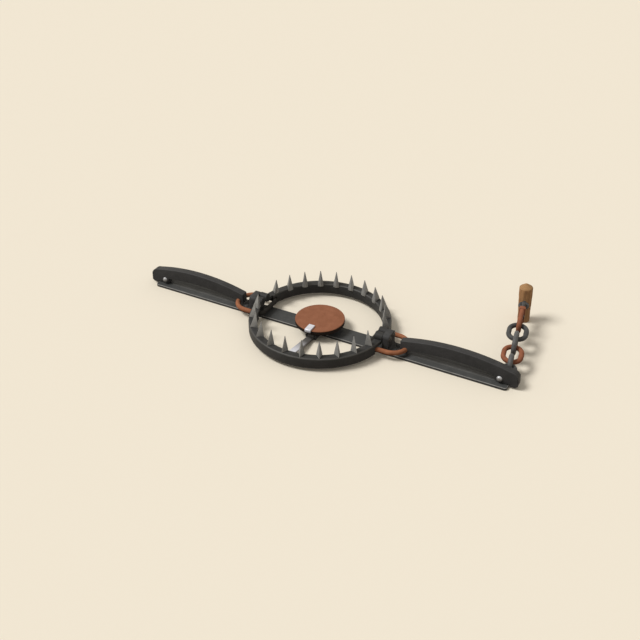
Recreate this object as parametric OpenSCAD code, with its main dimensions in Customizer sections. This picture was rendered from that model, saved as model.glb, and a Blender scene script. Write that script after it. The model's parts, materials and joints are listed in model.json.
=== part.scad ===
// Double long-spring leghold trap, set and staked: base bar, toothed jaws, two springs
// with ring eyes, pan, dog, and a swivel chain that runs to a short wooden stake.
// X runs along the base towards the chained heel, Y runs back, Z is up, the ground is z = 0.

/* [Base bar] */
// Length of the flat base bar
base_length = 826; // [740:1:900]
// Width of the base bar
base_width = 41.6; // [38:0.1:50]
// Thickness of the base bar
base_thickness = 6; // [5:0.1:9]
// Corner radius of the base bar, seen from above
base_corner = 6; // [2:0.5:12]
// Width of the bevel along the top edges of the base bar
base_bevel = 1; // [0.4:0.1:1.6]

/* [Jaws] */
// Outer diameter of the ring that the two open jaws make
jaw_spread = 300; // [260:1:340]
// Radial width of the jaw bar
jaw_bar_width = 17.2; // [14:0.1:20]
// Height of the jaw bar with the jaws open
jaw_bar_height = 24; // [22:0.1:28]
// Gap between the open jaw bars and the base bar
jaw_lift = 0.5; // [0.3:0.1:1.5]
// Radius along the edges of the jaw bar
jaw_edge = 2.5; // [1:0.1:3.5]
// Depth of the thin neck at each jaw end
neck_depth = 7.3; // [6:0.1:9]

/* [Teeth] */
// Number of teeth on each jaw
tooth_count = 11; // [7:2:11]
// Angle between neighbouring teeth
tooth_pitch = 15; // [13:0.5:15]
// Height of a tooth above the jaw bar
tooth_height = 33; // [20:0.5:36]
// Corner-to-corner width of a tooth at its foot
tooth_foot = 15; // [12:0.5:18]
// Height of the straight foot under the taper
tooth_plinth = 2.5; // [1:0.1:4]
// Corner-to-corner width of the blunt tip
tooth_tip = 1.6; // [0.8:0.1:3]
// How far each tip leans in towards the middle
tooth_lean = 6; // [0:0.5:8]
// Angle by which each jaw's teeth step sideways, so that the two rows pass between each other
tooth_stagger = 2.7; // [2.7:0.1:3.4]
// Diameter of the shank that seats a tooth in the jaw
tooth_shank = 6; // [4:0.5:7]
// Depth of the shank
tooth_shank_depth = 5; // [3:0.5:6]

/* [Jaw posts] */
// Distance between the two jaw pivots on a post
pivot_spread = 19; // [18.6:0.1:24]
// Height of the jaw pivots above the top of the open jaws
pivot_rise = 3.5; // [2.5:0.1:6]
// Diameter of a jaw pivot pin
pivot_pin = 8; // [6:0.1:9]
// Wall of the knuckle around a pivot pin
knuckle_wall = 5; // [4:0.1:5.2]
// Thickness of the knuckle along the pin
knuckle_thickness = 16.6; // [14:0.1:17]
// Thickness of the upright of a post
post_thickness = 14; // [10:0.5:16]
// Width of a post
post_width = 34; // [32:0.5:40]
// Height of a post above the jaw pivots
post_crown = 8.5; // [7:0.1:12]
// Length of a post's foot
post_foot = 22; // [18:0.5:24]
// Thickness of a post's foot
post_foot_thickness = 4; // [3:0.1:5]
// Diameter of the post rivets
post_rivet = 7; // [5:0.1:8]

/* [Springs] */
// Width of the spring bar
spring_width = 16.5; // [14:0.1:18]
// Depth of the spring bar at its tip
spring_tip_depth = 21; // [18:0.1:23]
// Height of the top of the spring tip
spring_tip_height = 35; // [34:0.1:38]
// How far the top of the spring arches above a straight line
spring_arch = 14.3; // [8:0.1:18]
// How far the underside arches above a straight line
spring_under_arch = 8.9; // [6:0.1:12]
// Outer radius of the heel bend
heel_radius = 16; // [14:0.1:18]
// Height of the top of the heel bend
heel_height = 37.3; // [36:0.1:42]
// Height of the lip that hangs from the heel past the end of the base bar
heel_lip = 4.4; // [4:0.1:6]
// Distance of the heel bend's centre past the heel pin
heel_reach = 20.5; // [16:0.1:23]
// Distance of the heel pin from the end of the base bar
heel_inset = 19; // [16:0.5:26]
// Diameter of a heel pin
heel_pin_d = 10; // [8:0.1:11]
// Diameter of the head of a heel pin
heel_head_d = 13; // [12:0.1:16]
// Length of the head of a heel pin
heel_head = 5; // [3:0.1:7]
// Wall of the spring around its heel pin
heel_wall = 4; // [3:0.1:4.6]
// Thickness of the heel lug
lug_thickness = 7; // [5:0.1:8]

/* [Spring eyes] */
// Diameter of the round bar of a spring eye
eye_bar = 10; // [8:0.1:11]
// Width of a spring eye between the middles of its bar
eye_width = 65; // [64:0.5:72]
// Distance from the jaw ring to the centre of the eye's round end
eye_reach = 16; // [14:0.5:20]
// Bend radius of the eye's inner corners
eye_corner = 10; // [8:0.5:12]

/* [Pan] */
// Diameter of the pan
pan_diameter = 104.6; // [90:0.1:112]
// Height of the top of the pan
pan_top = 28.9; // [27:0.1:31]
// Thickness of the pan sheet
pan_sheet = 3; // [2:0.1:3.4]
// Depth of the turned-down rim
pan_rim = 9; // [6:0.1:10]
// Width of the pan strap
strap_width = 13; // [10:0.1:14]
// Thickness of the pan strap
strap_thickness = 3.3; // [2.4:0.1:3.6]
// Length of the strap's end that is folded back over the rim
strap_tab = 18; // [12:0.5:24]
// Distance of the pan hinge behind the middle
pan_hinge_y = 6; // [2:0.5:10]
// Height of the pan hinge above the base bar
pan_hinge_rise = 11; // [10.4:0.1:11.6]

/* [Dog] */
// Width of the dog
dog_width = 13.8; // [12:0.1:16]
// Thickness of the dog
dog_thickness = 4.5; // [3.4:0.1:5]
// Height of the top of the dog's nose
dog_nose_height = 20; // [17:0.1:23]
// Distance of the dog's hinge in front of the base bar
dog_hinge_reach = 17.2; // [16.5:0.1:22]
// Diameter of the pan and dog hinge pins
hinge_pin = 6; // [5:0.1:6.4]
// Thickness of the bracket that carries both hinges
bracket_sheet = 4; // [3:0.1:5]

/* [Chain] */
// Diameter of the chain bar
chain_bar = 10; // [8:0.1:10.5]
// Inside length of a chain link
link_length = 35.2; // [32:0.1:44]
// Inside width of a chain link
link_width = 24; // [22:0.1:28]
// Inside diameter of the round ring at the heel
ring_inside = 20; // [20:0.1:26]
// Diameter of the bar of the heel eye
heel_eye_bar = 8.4; // [7:0.1:9]
// Outward swing of the chain from square to the base bar
chain_yaw = 9.6; // [0:0.1:20]
// Upward slope of the chain
chain_slope = 6.2; // [0:0.1:8]
// Inside length of the swivel clevis
clevis_length = 37; // [30:0.1:42]
// Inside width of the swivel clevis
clevis_width = 18; // [16:0.1:22]
// Diameter of the swivel stem
stem_d = 8; // [6:0.1:9]
// Inside diameter of the swivel eye
swivel_inside = 13; // [12:0.1:18]
// Diameter of the bar of the swivel eye
swivel_bar = 8; // [6:0.1:8.4]

/* [Stake] */
// Diameter of the stake at its top
stake_top_d = 29; // [24:0.5:36]
// Diameter of the stake at the ground
stake_foot_d = 25; // [22:0.5:30]
// Height of the stake above the ground
stake_height = 84; // [70:1:110]
// Lean of the stake towards the middle of the trap
stake_lean = 3; // [0:0.5:5]
// Bevel around the hammered top of the stake
stake_bevel = 2; // [0.5:0.1:4]
// Inside diameter of the screw eye in the stake
stake_eye_inside = 9.4; // [9:0.1:12]
// Diameter of the bar of the screw eye
stake_eye_bar = 6.6; // [5:0.1:8]

/* [Fits] */
// Radial clearance of a turning fit
running_fit = 0.05; // [0.02:0.01:0.1]
// Radial clearance of a fixed seat
seat_fit = 0.02; // [0.01:0.01:0.05]
// Gap between pieces that move past each other
side_gap = 0.4; // [0.3:0.05:0.6]
// Slack between the bars of two chain pieces
chain_slack = 0.3; // [0.2:0.05:0.6]
// Gap between the spring eyes and the necks of the jaws
eye_gap = 0.7; // [0.5:0.05:1]

/* [Hidden] */

$fn = 48;
// A cut reaches this far past the face that it opens
past = 1;
// Colours of the finishes
dark_iron = [0.16, 0.155, 0.15];
worn_iron = [0.3, 0.3, 0.295];
bright_steel = [0.76, 0.76, 0.79];
tooth_grey = [0.45, 0.45, 0.44];
rust_brown = [0.5, 0.27, 0.15];
rust_orange = [0.6, 0.33, 0.18];
stake_wood = [0.55, 0.37, 0.22];

// Jaw ring
jaw_outer = jaw_spread / 2;
jaw_inner = jaw_outer - jaw_bar_width;
jaw_middle = jaw_outer - jaw_bar_width / 2;
jaw_bottom = base_thickness + jaw_lift;
jaw_top = jaw_bottom + jaw_bar_height;
pivot_y = pivot_spread / 2;
pivot_z = jaw_top + pivot_rise;
pivot_r = pivot_pin / 2;
knuckle_r = pivot_r + knuckle_wall;
knuckle_out = jaw_outer - side_gap;
knuckle_in = knuckle_out - knuckle_thickness;
neck_bottom = jaw_top - neck_depth;

// Jaw posts
post_in = jaw_outer;
post_out = post_in + post_thickness;
post_top = pivot_z + post_crown;
post_corner = 8;
post_fillet = 4;
post_rivet_x = post_out + post_foot * 0.55;
post_rivet_y = post_width / 4;
post_rivet_head = post_rivet * 0.8;
pin_head_step = 2;
pin_head_r = pivot_r + pin_head_step;
pin_head = 3;

// Spring eyes
eye_r = eye_bar / 2;
eye_half = eye_width / 2;
eye_z = neck_bottom - eye_gap - eye_r;
eye_x = jaw_outer + eye_reach;
eye_out = eye_x + eye_half;
eye_inner_gap = 3;
eye_in = knuckle_in - eye_inner_gap - eye_r;
notch_margin = 1;
notch_half = eye_half + eye_r + notch_margin;
neck_half = eye_half - eye_r;
knuckle_margin = 1.5;
knuckle_edge = pivot_y + knuckle_r + knuckle_margin;

// Spring arms
spring_tip_past_eye = 12.5;
tip_x = eye_out - spring_tip_past_eye;
heel_x = base_length / 2 - heel_inset;
heel_pin_r = heel_pin_d / 2;
heel_boss_r = heel_pin_r + heel_wall;
heel_lift = 0.5;
heel_z = base_thickness + heel_lift + heel_boss_r;
heel_bend = [heel_x + heel_reach, heel_height - heel_radius];
heel_relief = 7.5;
heel_relief_z = base_thickness + 0.6;
heel_lip_gap = 2;
heel_lip_x = base_length / 2 + heel_lip_gap;
heel_lip_bevel = 4;
heel_end = heel_bend[0] + heel_radius;
lug_step = 1;
lug_r = heel_boss_r - lug_step;
lug_half = lug_thickness / 2;
lug_tenon = 12;
slot_half = lug_half + side_gap;
slot_margin = 1.8;
slot_side = lug_r + slot_margin;

// Pan and dog
pan_r = pan_diameter / 2;
pan_under = pan_top - pan_sheet;
strap_top = pan_under;
strap_bottom = strap_top - strap_thickness;
strap_front = -(pan_r + side_gap + strap_thickness);
strap_tail = 20;
strap_back = pan_hinge_y + strap_tail;
fold_bottom = pan_top + seat_fit;
fold_top = fold_bottom + strap_thickness;
fold_bend = strap_thickness;
pan_hinge_z = base_thickness + pan_hinge_rise;
hinge_r = hinge_pin / 2;
hinge_boss = 2.5;
hinge_head_step = 1.6;
hinge_head_r = hinge_r + hinge_head_step;
hinge_head = 1.8;
bracket_in = dog_width / 2 + side_gap;
bracket_out = bracket_in + bracket_sheet;
foot_margin = 2.8;
foot_half = base_width / 2 - foot_margin;
foot_sheet = 2.5;
foot_top = base_thickness + foot_sheet;
dog_y = -(base_width / 2 + dog_hinge_reach);
dog_z = base_thickness;
dog_wall = 2.2;
dog_boss = hinge_r + dog_wall;
dog_nose_gap = 0.5;
dog_nose = -(jaw_inner - dog_nose_gap);
stem_half = bracket_in - side_gap;
stem_reach = 6;
stem_front = pan_hinge_y - stem_reach;
stem_back = pan_hinge_y + stem_reach;
finger_lift = 2.5;
finger_bottom = foot_top + finger_lift;
finger_depth = 3.5;
finger_top = finger_bottom + finger_depth;
bracket_rivet_r = 1.6;
bracket_rivet_head_r = 1.25 * bracket_rivet_r;
bracket_rivet_inset = [0.1, 4];
bracket_rivet_at = [
    bracket_in - bracket_rivet_head_r - bracket_rivet_inset[0], foot_half - bracket_rivet_inset[1]
];
finger_half = bracket_rivet_at[0] - bracket_rivet_head_r - side_gap;
finger_reach = 9.5;
finger_tip = dog_y + finger_reach;
tail_bottom = finger_top + chain_slack;
tail_past = 2.5;
tail_tip = finger_tip + tail_past;
tail_depth = 3.6;
pan_rivet_r = 2.5;
pan_rivet_back = 13;
pan_rivet_y = [-pan_r * 0.42, pan_hinge_y + pan_rivet_back];

// Chain stations, measured along the chain from the crown of the heel eye
link_r = chain_bar / 2;
link_half = link_length / 2 + link_r;
link_side = link_width / 2 + link_r;
ring_r = ring_inside / 2 + link_r;
heel_eye_r = heel_eye_bar / 2;
heel_hook = heel_eye_r + link_r + chain_slack;
link_hook = 2 * link_r + chain_slack;
heel_eye_past = 9;
heel_eye_x = heel_x + heel_eye_past;
heel_eye_drop = 3.1;
heel_eye_z = heel_height - heel_eye_r - heel_eye_drop;
heel_eye_play = 1.8;
heel_eye_side = link_r + heel_eye_r + heel_eye_play;
heel_eye_crown = spring_width / 2 + side_gap + chain_bar + chain_slack + heel_eye_r;
heel_eye_root = 14;
ring_at = -heel_hook + ring_r;
link_1_at = ring_at + ring_r - link_hook + link_half;
link_2_at = link_1_at + 2 * link_half - link_hook;
link_3_at = link_2_at + 2 * link_half - link_hook;
clevis_at = link_3_at + link_half - link_hook;
clevis_side = clevis_width / 2 + link_r;
clevis_head_at = clevis_at + link_r + clevis_length;
clevis_head = 8;
clevis_head_step = 1;
clevis_head_r = clevis_side + link_r + clevis_head_step;
clevis_cheek_step = 1.4;
clevis_cheek = link_r + clevis_cheek_step;
stem_r = stem_d / 2;
swivel_r = swivel_bar / 2;
swivel_ring = swivel_inside / 2 + swivel_r;
swivel_neck = 2;
swivel_at = clevis_head_at + clevis_head + swivel_neck + swivel_r + swivel_ring;
stem_head = 4.5;
stem_head_step = 2.5;
stem_head_r = stem_r + stem_head_step;
stake_eye_r = stake_eye_bar / 2;
stake_eye_ring = stake_eye_inside / 2 + stake_eye_r;
stake_hook = swivel_r + stake_eye_r + chain_slack;
stake_eye_at = swivel_at + swivel_ring - stake_hook + stake_eye_ring;
stake_eye_z = heel_eye_z + stake_eye_at * sin(chain_slope);
stake_r = stake_foot_d / 2 + (stake_top_d - stake_foot_d) / 2 * stake_eye_z / stake_height;
stake_axis_at = stake_eye_at + (stake_eye_ring + stake_eye_r + stake_r) / cos(chain_slope);
stake_shank = stake_r + stake_eye_r;
chain_run = stake_axis_at * cos(chain_slope);
stake_x = heel_eye_x - chain_run * sin(chain_yaw) + stake_eye_z * tan(stake_lean);
stake_y = heel_eye_crown + chain_run * cos(chain_yaw);

// Centre of the arc that joins two points and rises by a given height between them
function arc_radius(p, q, rise) = (pow(norm(q - p) / 2, 2) + rise * rise) / (2 * rise);
function arc_centre(p, q, rise) =
    let (along = (q - p) / norm(q - p), up = [-along[1], along[0]])
    (p + q) / 2 + up * (rise - arc_radius(p, q, rise));

// Sends what is drawn for the right-hand side to side +1 (right) or -1 (left)
module on_side(side) {
    mirror([side < 0 ? 1 : 0, 0, 0]) children();
}

// Draws in the X-Z plane and thickens along Y, centred on y = 0
module side_plate(thickness) {
    translate([0, thickness / 2, 0]) rotate([90, 0, 0]) linear_extrude(thickness) children();
}

// Draws in the Y-Z plane and thickens along X from x = low
module end_plate(low, thickness) {
    translate([low, 0, 0]) rotate([90, 0, 90]) linear_extrude(thickness) children();
}

// Rounded rectangle with true arcs at its corners
module rounded_rectangle(low, high, r) {
    for (x = [low[0] + r, high[0] - r], y = [low[1] + r, high[1] - r]) {
        translate([x, y]) circle(r);
    }
    translate([low[0] + r, low[1]]) square([high[0] - low[0] - 2 * r, high[1] - low[1]]);
    translate([low[0], low[1] + r]) square([high[0] - low[0], high[1] - low[1] - 2 * r]);
}

// Rod along X
module rod_x(from, to, r) {
    translate([from, 0, 0]) rotate([0, 90, 0]) cylinder(h = to - from, r = r);
}

// Rod along Y
module rod_y(from, to, r) {
    translate([0, from, 0]) rotate([-90, 0, 0]) cylinder(h = to - from, r = r);
}

// Low domed head of a pin or rivet, standing on z = 0
module domed_head(r, h) {
    sphere_r = (r * r + h * h) / (2 * h);
    rotate_extrude() intersection() {
        translate([0, h - sphere_r]) circle(sphere_r);
        square([r, h]);
    }
}

// Rivet shanks and heads of a post
module post_rivet_set() {
    for (y = [-post_rivet_y, post_rivet_y]) {
        translate([post_rivet_x, y, 0]) children();
    }
}

// Places of the four bracket rivets
module bracket_rivet_places() {
    for (x = [-1, 1], y = [-1, 1]) {
        translate([x * bracket_rivet_at[0], y * bracket_rivet_at[1], 0]) children();
    }
}

// Flat bar with bevelled top edges and rounded ends
module base_plate() {
    half = base_width / 2;
    end = base_length / 2;
    color(dark_iron) difference() {
        intersection() {
            end_plate(-end, base_length) polygon([
                [-half, 0], [half, 0], [half, base_thickness - base_bevel],
                [half - base_bevel, base_thickness], [-half + base_bevel, base_thickness],
                [-half, base_thickness - base_bevel]
            ]);
            linear_extrude(base_thickness) rounded_rectangle([-end, -half], [end, half], base_corner);
        }
        for (side = [-1, 1]) on_side(side) {
            translate([heel_x - lug_tenon / 2 - seat_fit, -lug_half - seat_fit, -past])
                cube([lug_tenon + 2 * seat_fit, lug_thickness + 2 * seat_fit, base_thickness + 2 * past]);
            post_rivet_set() translate([0, 0, -past])
                cylinder(h = base_thickness + 2 * past, r = post_rivet / 2 + seat_fit);
        }
        bracket_rivet_places() translate([0, 0, -past])
            cylinder(h = base_thickness + 2 * past, r = bracket_rivet_r + seat_fit);
    }
}

// Bent post: an upright with two pivot bores, on a riveted foot
module jaw_post(side) {
    half = post_width / 2;
    color(worn_iron) on_side(side) difference() {
        intersection() {
            side_plate(post_width) {
                translate([post_in, base_thickness]) square([post_thickness, post_top - base_thickness]);
                translate([post_in, base_thickness])
                    square([post_thickness + post_foot, post_foot_thickness]);
                difference() {
                    translate([post_out, base_thickness + post_foot_thickness])
                        square([post_fillet, post_fillet]);
                    translate([post_out + post_fillet, base_thickness + post_foot_thickness + post_fillet])
                        circle(post_fillet);
                }
            }
            end_plate(post_in, post_thickness + post_foot) {
                translate([-half, base_thickness]) square([post_width, post_top - base_thickness - post_corner]);
                rounded_rectangle([-half, base_thickness], [half, post_top], post_corner);
            }
        }
        for (y = [-pivot_y, pivot_y]) {
            translate([0, y, pivot_z]) rod_x(post_in - past, post_out + past, pivot_r + seat_fit);
        }
        post_rivet_set() translate([0, 0, base_thickness - past])
            cylinder(h = post_foot_thickness + 2 * past, r = post_rivet / 2 + seat_fit);
    }
}

module post_rivets() {
    head_z = base_thickness + post_foot_thickness;
    color(worn_iron) for (side = [-1, 1]) on_side(side) {
        post_rivet_set() {
            translate([0, 0, 0.3]) cylinder(h = head_z - 0.3, r = post_rivet / 2);
            translate([0, 0, head_z]) domed_head(post_rivet_head, post_rivet * 0.4);
        }
    }
}

// Pins that both jaws turn on, each headed on the outside of its post
module jaw_pins(side) {
    color(bright_steel) on_side(side) {
        for (y = [-pivot_y, pivot_y]) translate([0, y, pivot_z]) {
            rod_x(knuckle_in, post_out, pivot_r);
            translate([post_out, 0, 0]) rotate([0, 90, 0]) domed_head(pin_head_r, pin_head);
        }
    }
}

// Tongue that stands in the base bar and carries the heel pin
module heel_lug(side) {
    color(worn_iron) on_side(side) difference() {
        side_plate(lug_thickness) {
            translate([heel_x, heel_z]) circle(lug_r);
            translate([heel_x - lug_r, base_thickness]) square([2 * lug_r, heel_z - base_thickness]);
            translate([heel_x - lug_tenon / 2, 0.3]) square([lug_tenon, base_thickness]);
        }
        translate([heel_x, 0, heel_z]) rod_y(-lug_thickness, lug_thickness, heel_pin_r + seat_fit);
    }
}

// Pin across the heel, with a domed head on each side of the spring
module heel_pin(side) {
    face = spring_width / 2 + side_gap;
    color(bright_steel) on_side(side) translate([heel_x, 0, heel_z]) {
        rod_y(-face, face, heel_pin_r);
        rotate([-90, 0, 0]) translate([0, 0, face]) domed_head(heel_head_d / 2, heel_head);
        rotate([90, 0, 0]) translate([0, 0, face]) domed_head(heel_head_d / 2, heel_head);
    }
}

// Outline of a bracket ear: it carries the pan hinge above the base and the dog hinge in front of it
module bracket_ear_outline() {
    ear_r = hinge_r + hinge_boss;
    low = dog_z - ear_r;
    translate([pan_hinge_y, pan_hinge_z]) circle(ear_r);
    translate([dog_y, dog_z]) circle(ear_r);
    polygon([
        [pan_hinge_y + ear_r, base_thickness], [pan_hinge_y + ear_r, pan_hinge_z],
        [pan_hinge_y - ear_r, pan_hinge_z], [-foot_half, foot_top + ear_r], [dog_y, dog_z + ear_r],
        [dog_y, low], [-base_width / 2 - side_gap, low], [-base_width / 2 - side_gap, base_thickness]
    ]);
}

// Folded bracket on the base bar: a foot and two ears with the pan and dog hinges
module trigger_bracket() {
    color(worn_iron) difference() {
        union() {
            for (x = [-bracket_out, bracket_in]) end_plate(x, bracket_sheet) bracket_ear_outline();
            translate([-bracket_out, -foot_half, base_thickness])
                cube([2 * bracket_out, 2 * foot_half, foot_sheet]);
        }
        for (hinge = [[pan_hinge_y, pan_hinge_z], [dog_y, dog_z]]) {
            translate([0, hinge[0], hinge[1]])
                rod_x(-bracket_out - past, bracket_out + past, hinge_r + seat_fit);
        }
        bracket_rivet_places() translate([0, 0, base_thickness - past])
            cylinder(h = foot_sheet + 2 * past, r = bracket_rivet_r + seat_fit);
    }
}

module bracket_rivets() {
    color(worn_iron) bracket_rivet_places() {
        translate([0, 0, 0.3]) cylinder(h = foot_top - 0.3, r = bracket_rivet_r);
        translate([0, 0, foot_top]) domed_head(bracket_rivet_head_r, 1);
    }
}

// Hinge pin along X, headed on both sides of the bracket
module bracket_pin(y, z) {
    color(bright_steel) translate([0, y, z]) {
        rod_x(-bracket_out, bracket_out, hinge_r);
        translate([bracket_out, 0, 0]) rotate([0, 90, 0]) domed_head(hinge_head_r, hinge_head);
        translate([-bracket_out, 0, 0]) rotate([0, -90, 0]) domed_head(hinge_head_r, hinge_head);
    }
}

// Angle of a tooth on the rear jaw, counted from the right-hand post
function tooth_angle(i) = 90 + (i - (tooth_count - 1) / 2) * tooth_pitch;

// Puts its children at each tooth seat of the rear jaw (side +1) or the front jaw (side -1)
module tooth_seats(side) {
    for (i = [0 : tooth_count - 1]) {
        rotate([0, 0, side * tooth_angle(i) - tooth_stagger]) translate([jaw_middle, 0, jaw_top]) children();
    }
}

// One end of a rear jaw, on the right: the neck and the knuckle around its pin
module jaw_end() {
    end_plate(knuckle_in, knuckle_thickness) {
        translate([pivot_y, pivot_z]) circle(knuckle_r);
        polygon([
            [pivot_y, pivot_z], [pivot_y, neck_bottom + 0.8], [pivot_y + 0.6 * knuckle_r, neck_bottom],
            [knuckle_edge + 1, neck_bottom], [knuckle_edge + 1, jaw_top], [pivot_y + knuckle_r, pivot_z]
        ]);
    }
}

// Rear jaw: half a ring of edge-rounded bar, thinned to a necked knuckle at each end
module rear_jaw_body() {
    difference() {
        union() {
            difference() {
                rotate_extrude(angle = 180, $fn = 96)
                    rounded_rectangle([jaw_inner, jaw_bottom], [jaw_outer, jaw_top], jaw_edge);
                translate([-jaw_spread, -past, jaw_bottom - past])
                    cube([2 * jaw_spread, notch_half + past, neck_bottom - jaw_bottom + past]);
                translate([-knuckle_in, -past, 0]) cube([2 * knuckle_in, neck_half + past, jaw_spread]);
                translate([-jaw_spread, -past, 0]) cube([2 * jaw_spread, knuckle_edge + past, jaw_spread]);
            }
            for (side = [-1, 1]) on_side(side) jaw_end();
        }
        for (side = [-1, 1]) on_side(side) translate([0, pivot_y, pivot_z])
            rod_x(knuckle_in - past, knuckle_out + past, pivot_r + running_fit);
    }
}

// Holes for the tooth shanks in the top of a jaw
module tooth_holes(side) {
    tooth_seats(side) translate([0, 0, -tooth_shank_depth - 0.2])
        cylinder(h = tooth_shank_depth + 0.2 + past, r = tooth_shank / 2 + seat_fit);
}

module rear_jaw() {
    color(dark_iron) difference() {
        rear_jaw_body();
        tooth_holes(1);
    }
}

module front_jaw() {
    color(dark_iron) difference() {
        mirror([0, 1, 0]) rear_jaw_body();
        tooth_holes(-1);
    }
}

// Corners of a square section with one corner pointing outwards, at height z and moved inwards by shift
function tooth_section(width, z, shift) = [
    [width / 2 - shift, 0, z], [-shift, width / 2, z], [-width / 2 - shift, 0, z], [-shift, -width / 2, z]
];

// Four-sided tooth: a straight foot, a taper that leans inwards, and a round shank below
module tooth() {
    points = concat(
        tooth_section(tooth_foot, 0, 0),
        tooth_section(tooth_foot, tooth_plinth, 0),
        tooth_section(tooth_tip, tooth_height, tooth_lean)
    );
    sides = [for (layer = [0, 4], i = [0 : 3])
        [layer + i, layer + 4 + i, layer + 4 + (i + 1) % 4, layer + (i + 1) % 4]];
    polyhedron(points, concat([[0, 1, 2, 3]], sides, [[11, 10, 9, 8]]));
    translate([0, 0, -tooth_shank_depth]) cylinder(h = tooth_shank_depth + tooth_plinth / 2, r = tooth_shank / 2);
}

module jaw_teeth(side) {
    color(tooth_grey) tooth_seats(side) tooth();
}

// Side outline of a spring: an arched bar that ends in a round heel bend with a lip past the base bar
module spring_outline() {
    top_from = [tip_x, spring_tip_height];
    top_to = [heel_bend[0], heel_height];
    under_from = [tip_x, spring_tip_height - spring_tip_depth];
    under_to = [heel_x, heel_z + 0.4 * heel_boss_r];
    top = arc_centre(top_from, top_to, spring_arch);
    under = arc_centre(under_from, under_to, spring_under_arch);
    difference() {
        union() {
            difference() {
                intersection() {
                    translate(top) circle(arc_radius(top_from, top_to, spring_arch), $fn = 360);
                    translate([tip_x, 0]) square([top_to[0] - tip_x, heel_height + spring_tip_height]);
                }
                translate(under) circle(arc_radius(under_from, under_to, spring_under_arch), $fn = 360);
                translate([tip_x - past, 0]) square([heel_x - tip_x + past, under_from[1]]);
            }
            translate(heel_bend) circle(heel_radius);
            translate([heel_x, heel_z]) circle(heel_boss_r);
            polygon([
                [heel_bend[0], heel_lip], [heel_end - heel_lip_bevel, heel_lip],
                [heel_end, heel_lip + heel_lip_bevel], [heel_end, heel_bend[1]], heel_bend
            ]);
        }
        polygon([
            [heel_x, heel_relief_z], [heel_lip_x, heel_relief_z + (heel_lip_x - heel_x) * tan(heel_relief)],
            [heel_lip_x, -base_width], [heel_x, -base_width]
        ]);
    }
}

// Puts its children on the chain line, a given distance past the crown of the heel eye
module on_chain(at) {
    translate([heel_eye_x, heel_eye_crown, heel_eye_z]) rotate([0, 0, chain_yaw])
        rotate([chain_slope, 0, 0]) translate([0, at, 0]) children();
}

// Half ring of round bar in the local X-Y plane, bulging towards +Y
module half_ring(ring, bar) {
    rotate_extrude(angle = 180) translate([ring, 0]) circle(bar);
}

// Heel eye: a staple of round bar whose legs stand in the back of the right heel
module heel_eye_bar_shape(bar) {
    translate([heel_eye_x, heel_eye_crown, heel_eye_z]) rotate([0, 0, chain_yaw])
        translate([0, -heel_eye_side, 0]) {
            half_ring(heel_eye_side, bar);
            for (x = [-heel_eye_side, heel_eye_side]) translate([x, 0, 0]) rod_y(-heel_eye_root, 0, bar);
        }
}

module heel_eye() {
    color(dark_iron) heel_eye_bar_shape(heel_eye_r);
}

// Round bar of a spring eye: a half ring outside, two straight sides and a square-cornered inner end
module eye_loop(bar) {
    straight = eye_in + eye_corner;
    translate([0, 0, eye_z]) {
        translate([eye_x, 0, 0]) rotate([0, 0, -90]) half_ring(eye_half, bar);
        for (y = [-1, 1]) {
            translate([0, y * eye_half, 0]) rod_x(straight, eye_x, bar);
            translate([straight, y * (eye_half - eye_corner), 0]) rotate([0, 0, y > 0 ? 90 : 180])
                rotate_extrude(angle = 90) translate([eye_corner, 0]) circle(bar);
        }
        translate([eye_in, 0, 0]) rod_y(eye_corner - eye_half, eye_half - eye_corner, bar);
    }
}

module spring_eye(side) {
    color(rust_orange) on_side(side) eye_loop(eye_r);
}

// Spring: the arched bar, forked over the heel lug and seated on the back of its eye
module spring_arm(side) {
    color(dark_iron) difference() {
        on_side(side) difference() {
            side_plate(spring_width) spring_outline();
            translate([heel_x, 0, heel_z]) {
                rod_y(-spring_width, spring_width, heel_pin_r + running_fit);
                rod_y(-slot_half, slot_half, lug_r + side_gap);
            }
            translate([heel_x - slot_side, -slot_half, 0]) cube([2 * slot_side, 2 * slot_half, heel_z]);
            translate([eye_x, 0, eye_z]) rotate([0, 0, -90]) half_ring(eye_half, eye_r + seat_fit);
        }
        if (side > 0) heel_eye_bar_shape(heel_eye_r + seat_fit);
    }
}

// Pan: a round sheet with a turned-down rim, notched where the strap comes out
module pan_disc() {
    edge = 1.4;
    color(rust_brown) difference() {
        rotate_extrude($fn = 96) difference() {
            union() {
                translate([0, pan_top - pan_rim]) square([pan_r, pan_rim - edge]);
                translate([0, pan_top - pan_rim]) square([pan_r - edge, pan_rim]);
                translate([pan_r - edge, pan_top - edge]) circle(edge);
            }
            translate([-past, pan_top - pan_rim - past])
                square([pan_r - pan_sheet + past, pan_rim - pan_sheet + past]);
        }
        translate([-strap_width / 2 - side_gap, -pan_r - past, pan_top - pan_rim - past])
            cube([strap_width + 2 * side_gap, 2 * pan_sheet + past, pan_rim - pan_sheet + past]);
        for (y = pan_rivet_y) translate([0, y, pan_under - past])
            cylinder(h = pan_sheet + 2 * past, r = pan_rivet_r + seat_fit);
    }
}

// Side outline of the strap: it runs under the pan and folds back over the front rim
module strap_outline() {
    outer = fold_bend + strap_thickness;
    difference() {
        union() {
            rounded_rectangle([strap_front, strap_bottom], [strap_front + 3 * outer, fold_top], fold_bend);
            translate([strap_front + outer, strap_bottom]) square([strap_back - strap_front - outer, strap_thickness]);
            translate([strap_front + outer, fold_bottom]) square([strap_tab + strap_thickness - outer, strap_thickness]);
        }
        translate([strap_front + strap_thickness, strap_top])
            square([strap_back - strap_front, fold_bottom - strap_top]);
    }
}

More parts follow.
